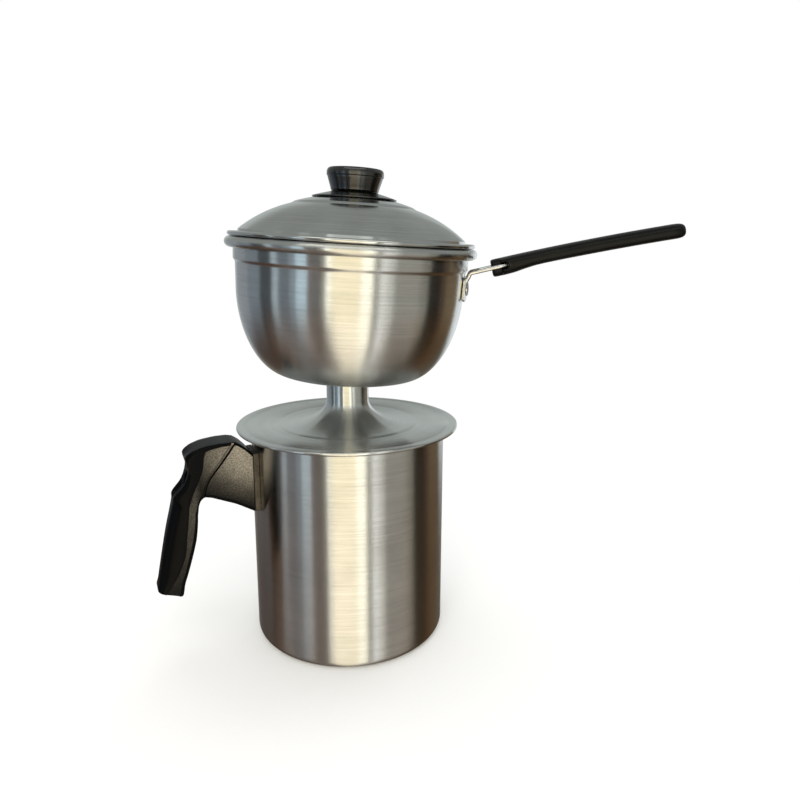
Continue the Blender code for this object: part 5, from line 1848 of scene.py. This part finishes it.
@dataclass
class Studio:
    """Camera, pale floor, soft lamps and the cards that the metal mirrors."""

    camera_height: float = 0.2405
    camera_distance: float = 0.4011
    camera_turn: float = math.radians(-20)
    yaw: float = math.radians(4.648)
    pitch: float = math.radians(-12.97)
    roll: float = math.radians(0.2617)
    lens: float = 29.68
    sensor: float = 36.0
    floor_size: float = 30.0
    floor_drop: float = 0.0003
    fade: Point = (0.10, 0.34)
    world_strength: float = 0.85
    surroundings: tuple = (
        LevelCard("ceiling_card", 3.0, "#A0A4A1"),
        LevelCard("ground_card", -3.0, "#645B52"),
        ReflectorCard("window_left_edge", -134.5, -129, "#FFFDEA", "#B5ADA0", 2.5),
        ReflectorCard("warm_window", -129, -101, "#F7E8BF", "#F3E6CD", 2),
        ReflectorCard("window_right_edge", -101, -90, "#FFFDEA", "#EDE5D1", 2.4),
        ReflectorCard("window_frame", -90, -84, "#BAB8AD", "#908979"),
        ReflectorCard("pale_curtain", -84, -76.5, "#FFFFF7", "#FFFDF8", 1.3),
        ReflectorCard("curtain_fold", -76.5, -69, "#E7ECE3", "#F3ECE2", 1.1),
        ReflectorCard("grey_wall", -69, -41, "#B5B6AD", "#ACA297"),
        ReflectorCard("shaded_wall", -41, -30, "#9B9D93", "#AA9B8B"),
        ReflectorCard("dark_door", -30, -13, "#12100A", "#453727"),
        ReflectorCard("door_edge", -13, -4, "#594A3E", "#3C2D1D"),
        ReflectorCard("brown_shelf", -4, 23, "#827159", "#634A32"),
        ReflectorCard("bright_shelf", 23, 50, "#F6FCFF", "#655D50"),
        ReflectorCard("back_wall", 50, 98, "#BCC3C0", "#958E84", top_change=(1.2, 2.2)),
        ReflectorCard("cool_wall", 98, 131, "#9DA4AB", "#55453C"),
        ReflectorCard("blue_shade", 131, 152, "#8995A0", "#58473B"),
        ReflectorCard("dark_corner", 152, 168.5, "#3F4B55", "#776050"),
        ReflectorCard("blue_strip", 168.5, 176, "#C0D4DF", "#958B86", 1.15),
        ReflectorCard("low_wall", 176, 189, "#768693", "#81766F"),
        ReflectorCard("cool_curtain", 189, 196, "#A0B3C2", "#8E847E"),
        ReflectorCard("blue_window", 196, 207.5, "#D4F0FF", "#9B8E86", 1.3),
        ReflectorCard("brown_wall", 207.5, 221, "#777676", "#7C6C61"),
        ReflectorCard("window_reveal", 221, 225.5, "#BCBAB1", "#95897C"),
        ReflectorCard(
            "skylight", -170, -50, "#FFFDF2", "#FFFDF2", 2.2, top="#FFFDF2", edge=((0.6, 0.72), (0.35, 1.15)),
        ),
        SoftLamp("window_lamp", -120, 32, 1.1, 0.7, 5.0, "#FFFCF6"),
        SoftLamp("side_lamp", 20, 35, 1.2, 0.8, 2.6, "#FAFCFF"),
        SoftLamp("top_lamp", 90, 70, 1.2, 0.9, 3.0, "#FFFFFF"),
    )

    def build_camera(self) -> None:
        """Stand the camera where the photograph's was."""
        data = bpy.data.cameras.new("camera")
        data.sensor_width = self.sensor
        data.lens = self.lens
        data.clip_start = 0.01
        camera = bpy.data.objects.new("camera", data)
        bpy.context.scene.collection.objects.link(camera)
        stand = Matrix.Translation((0.0, -self.camera_distance, self.camera_height))
        place = Matrix.Rotation(self.camera_turn, 4, "Z") @ stand
        for angle, axis in ((-self.yaw, "Z"), (math.pi / 2 + self.pitch, "X"), (self.roll, "Z")):
            place @= Matrix.Rotation(angle, 4, axis)
        camera.matrix_world = place
        bpy.context.scene.camera = camera

    def build_floor(self) -> None:
        """Lay the pale paper floor: it keeps the shadow near the object and fades to plain white."""
        floor = disc("paper_floor", self.floor_size, -self.floor_drop, 96)
        made = bpy.data.materials.new("white_paper")
        add = empty_tree(made)
        at = add("TexCoord", output="Object")
        distance = add("VectorMath", {0: at}, "Value", operation="LENGTH")
        ends = {"Value": distance, "From Min": self.fade[0], "From Max": self.fade[1]}
        far = add("MapRange", ends, interpolation_type="SMOOTHSTEP")
        seen = add("LightPath", output="Is Camera Ray")
        white = add("Math", {0: far, 1: seen}, operation="MULTIPLY")
        fibre = add("TexNoise", {"Vector": at, "Scale": 900.0, "Detail": 2.0})
        paper = add("Mix", {"Factor": fibre, 6: linear("#F4F4F2"), 7: linear("#F8F8F6")}, **COLOUR_MIX)
        matt = add("BsdfDiffuse", {"Color": paper})
        glow = add("Emission", {"Color": linear("#FFFFFF"), "Strength": 1.0})
        add("OutputMaterial", {"Surface": add("MixShader", {0: white, 1: matt, 2: glow})})
        floor.data.materials.append(made)
        floor.visible_glossy = False

    def build_world(self) -> None:
        """Light softly from all round, on a white ground."""
        world = bpy.data.worlds.new("white_room")
        add = empty_tree(world)
        camera, glossy, through = (
            add("LightPath", output=f"Is {kind} Ray") for kind in ("Camera", "Glossy", "Transmission")
        )
        direct = add("Math", {0: camera, 1: glossy}, operation="MAXIMUM")
        seen = add("Math", {0: direct, 1: through}, operation="MAXIMUM")
        strength = add("MapRange", {"Value": seen, "To Min": self.world_strength, "To Max": 1.0})
        glow = add("Background", {"Color": linear("#FFFFFF"), "Strength": strength})
        add("OutputWorld", {"Surface": glow})
        bpy.context.scene.world = world

    def build(self) -> None:
        """Set up all of the studio."""
        self.build_camera()
        self.build_floor()
        self.build_world()
        for item in self.surroundings:
            item.build()
        bpy.context.scene.view_settings.view_transform = "Standard"


def main() -> None:
    """Build every piece of the steamer and the studio."""
    logging.basicConfig(level=logging.INFO)
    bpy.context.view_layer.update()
    jug = BoilerJug()
    head = SteamHead(jug)
    bowl = SteamerBowl(head)
    jug.build()
    JugHandle(jug).build()
    head.build(bowl.washer_top())
    bowl.build()
    BowlHandle(bowl).build()
    Lid(bowl).build()
    Studio().build()


if __name__ == "__main__":
    main()
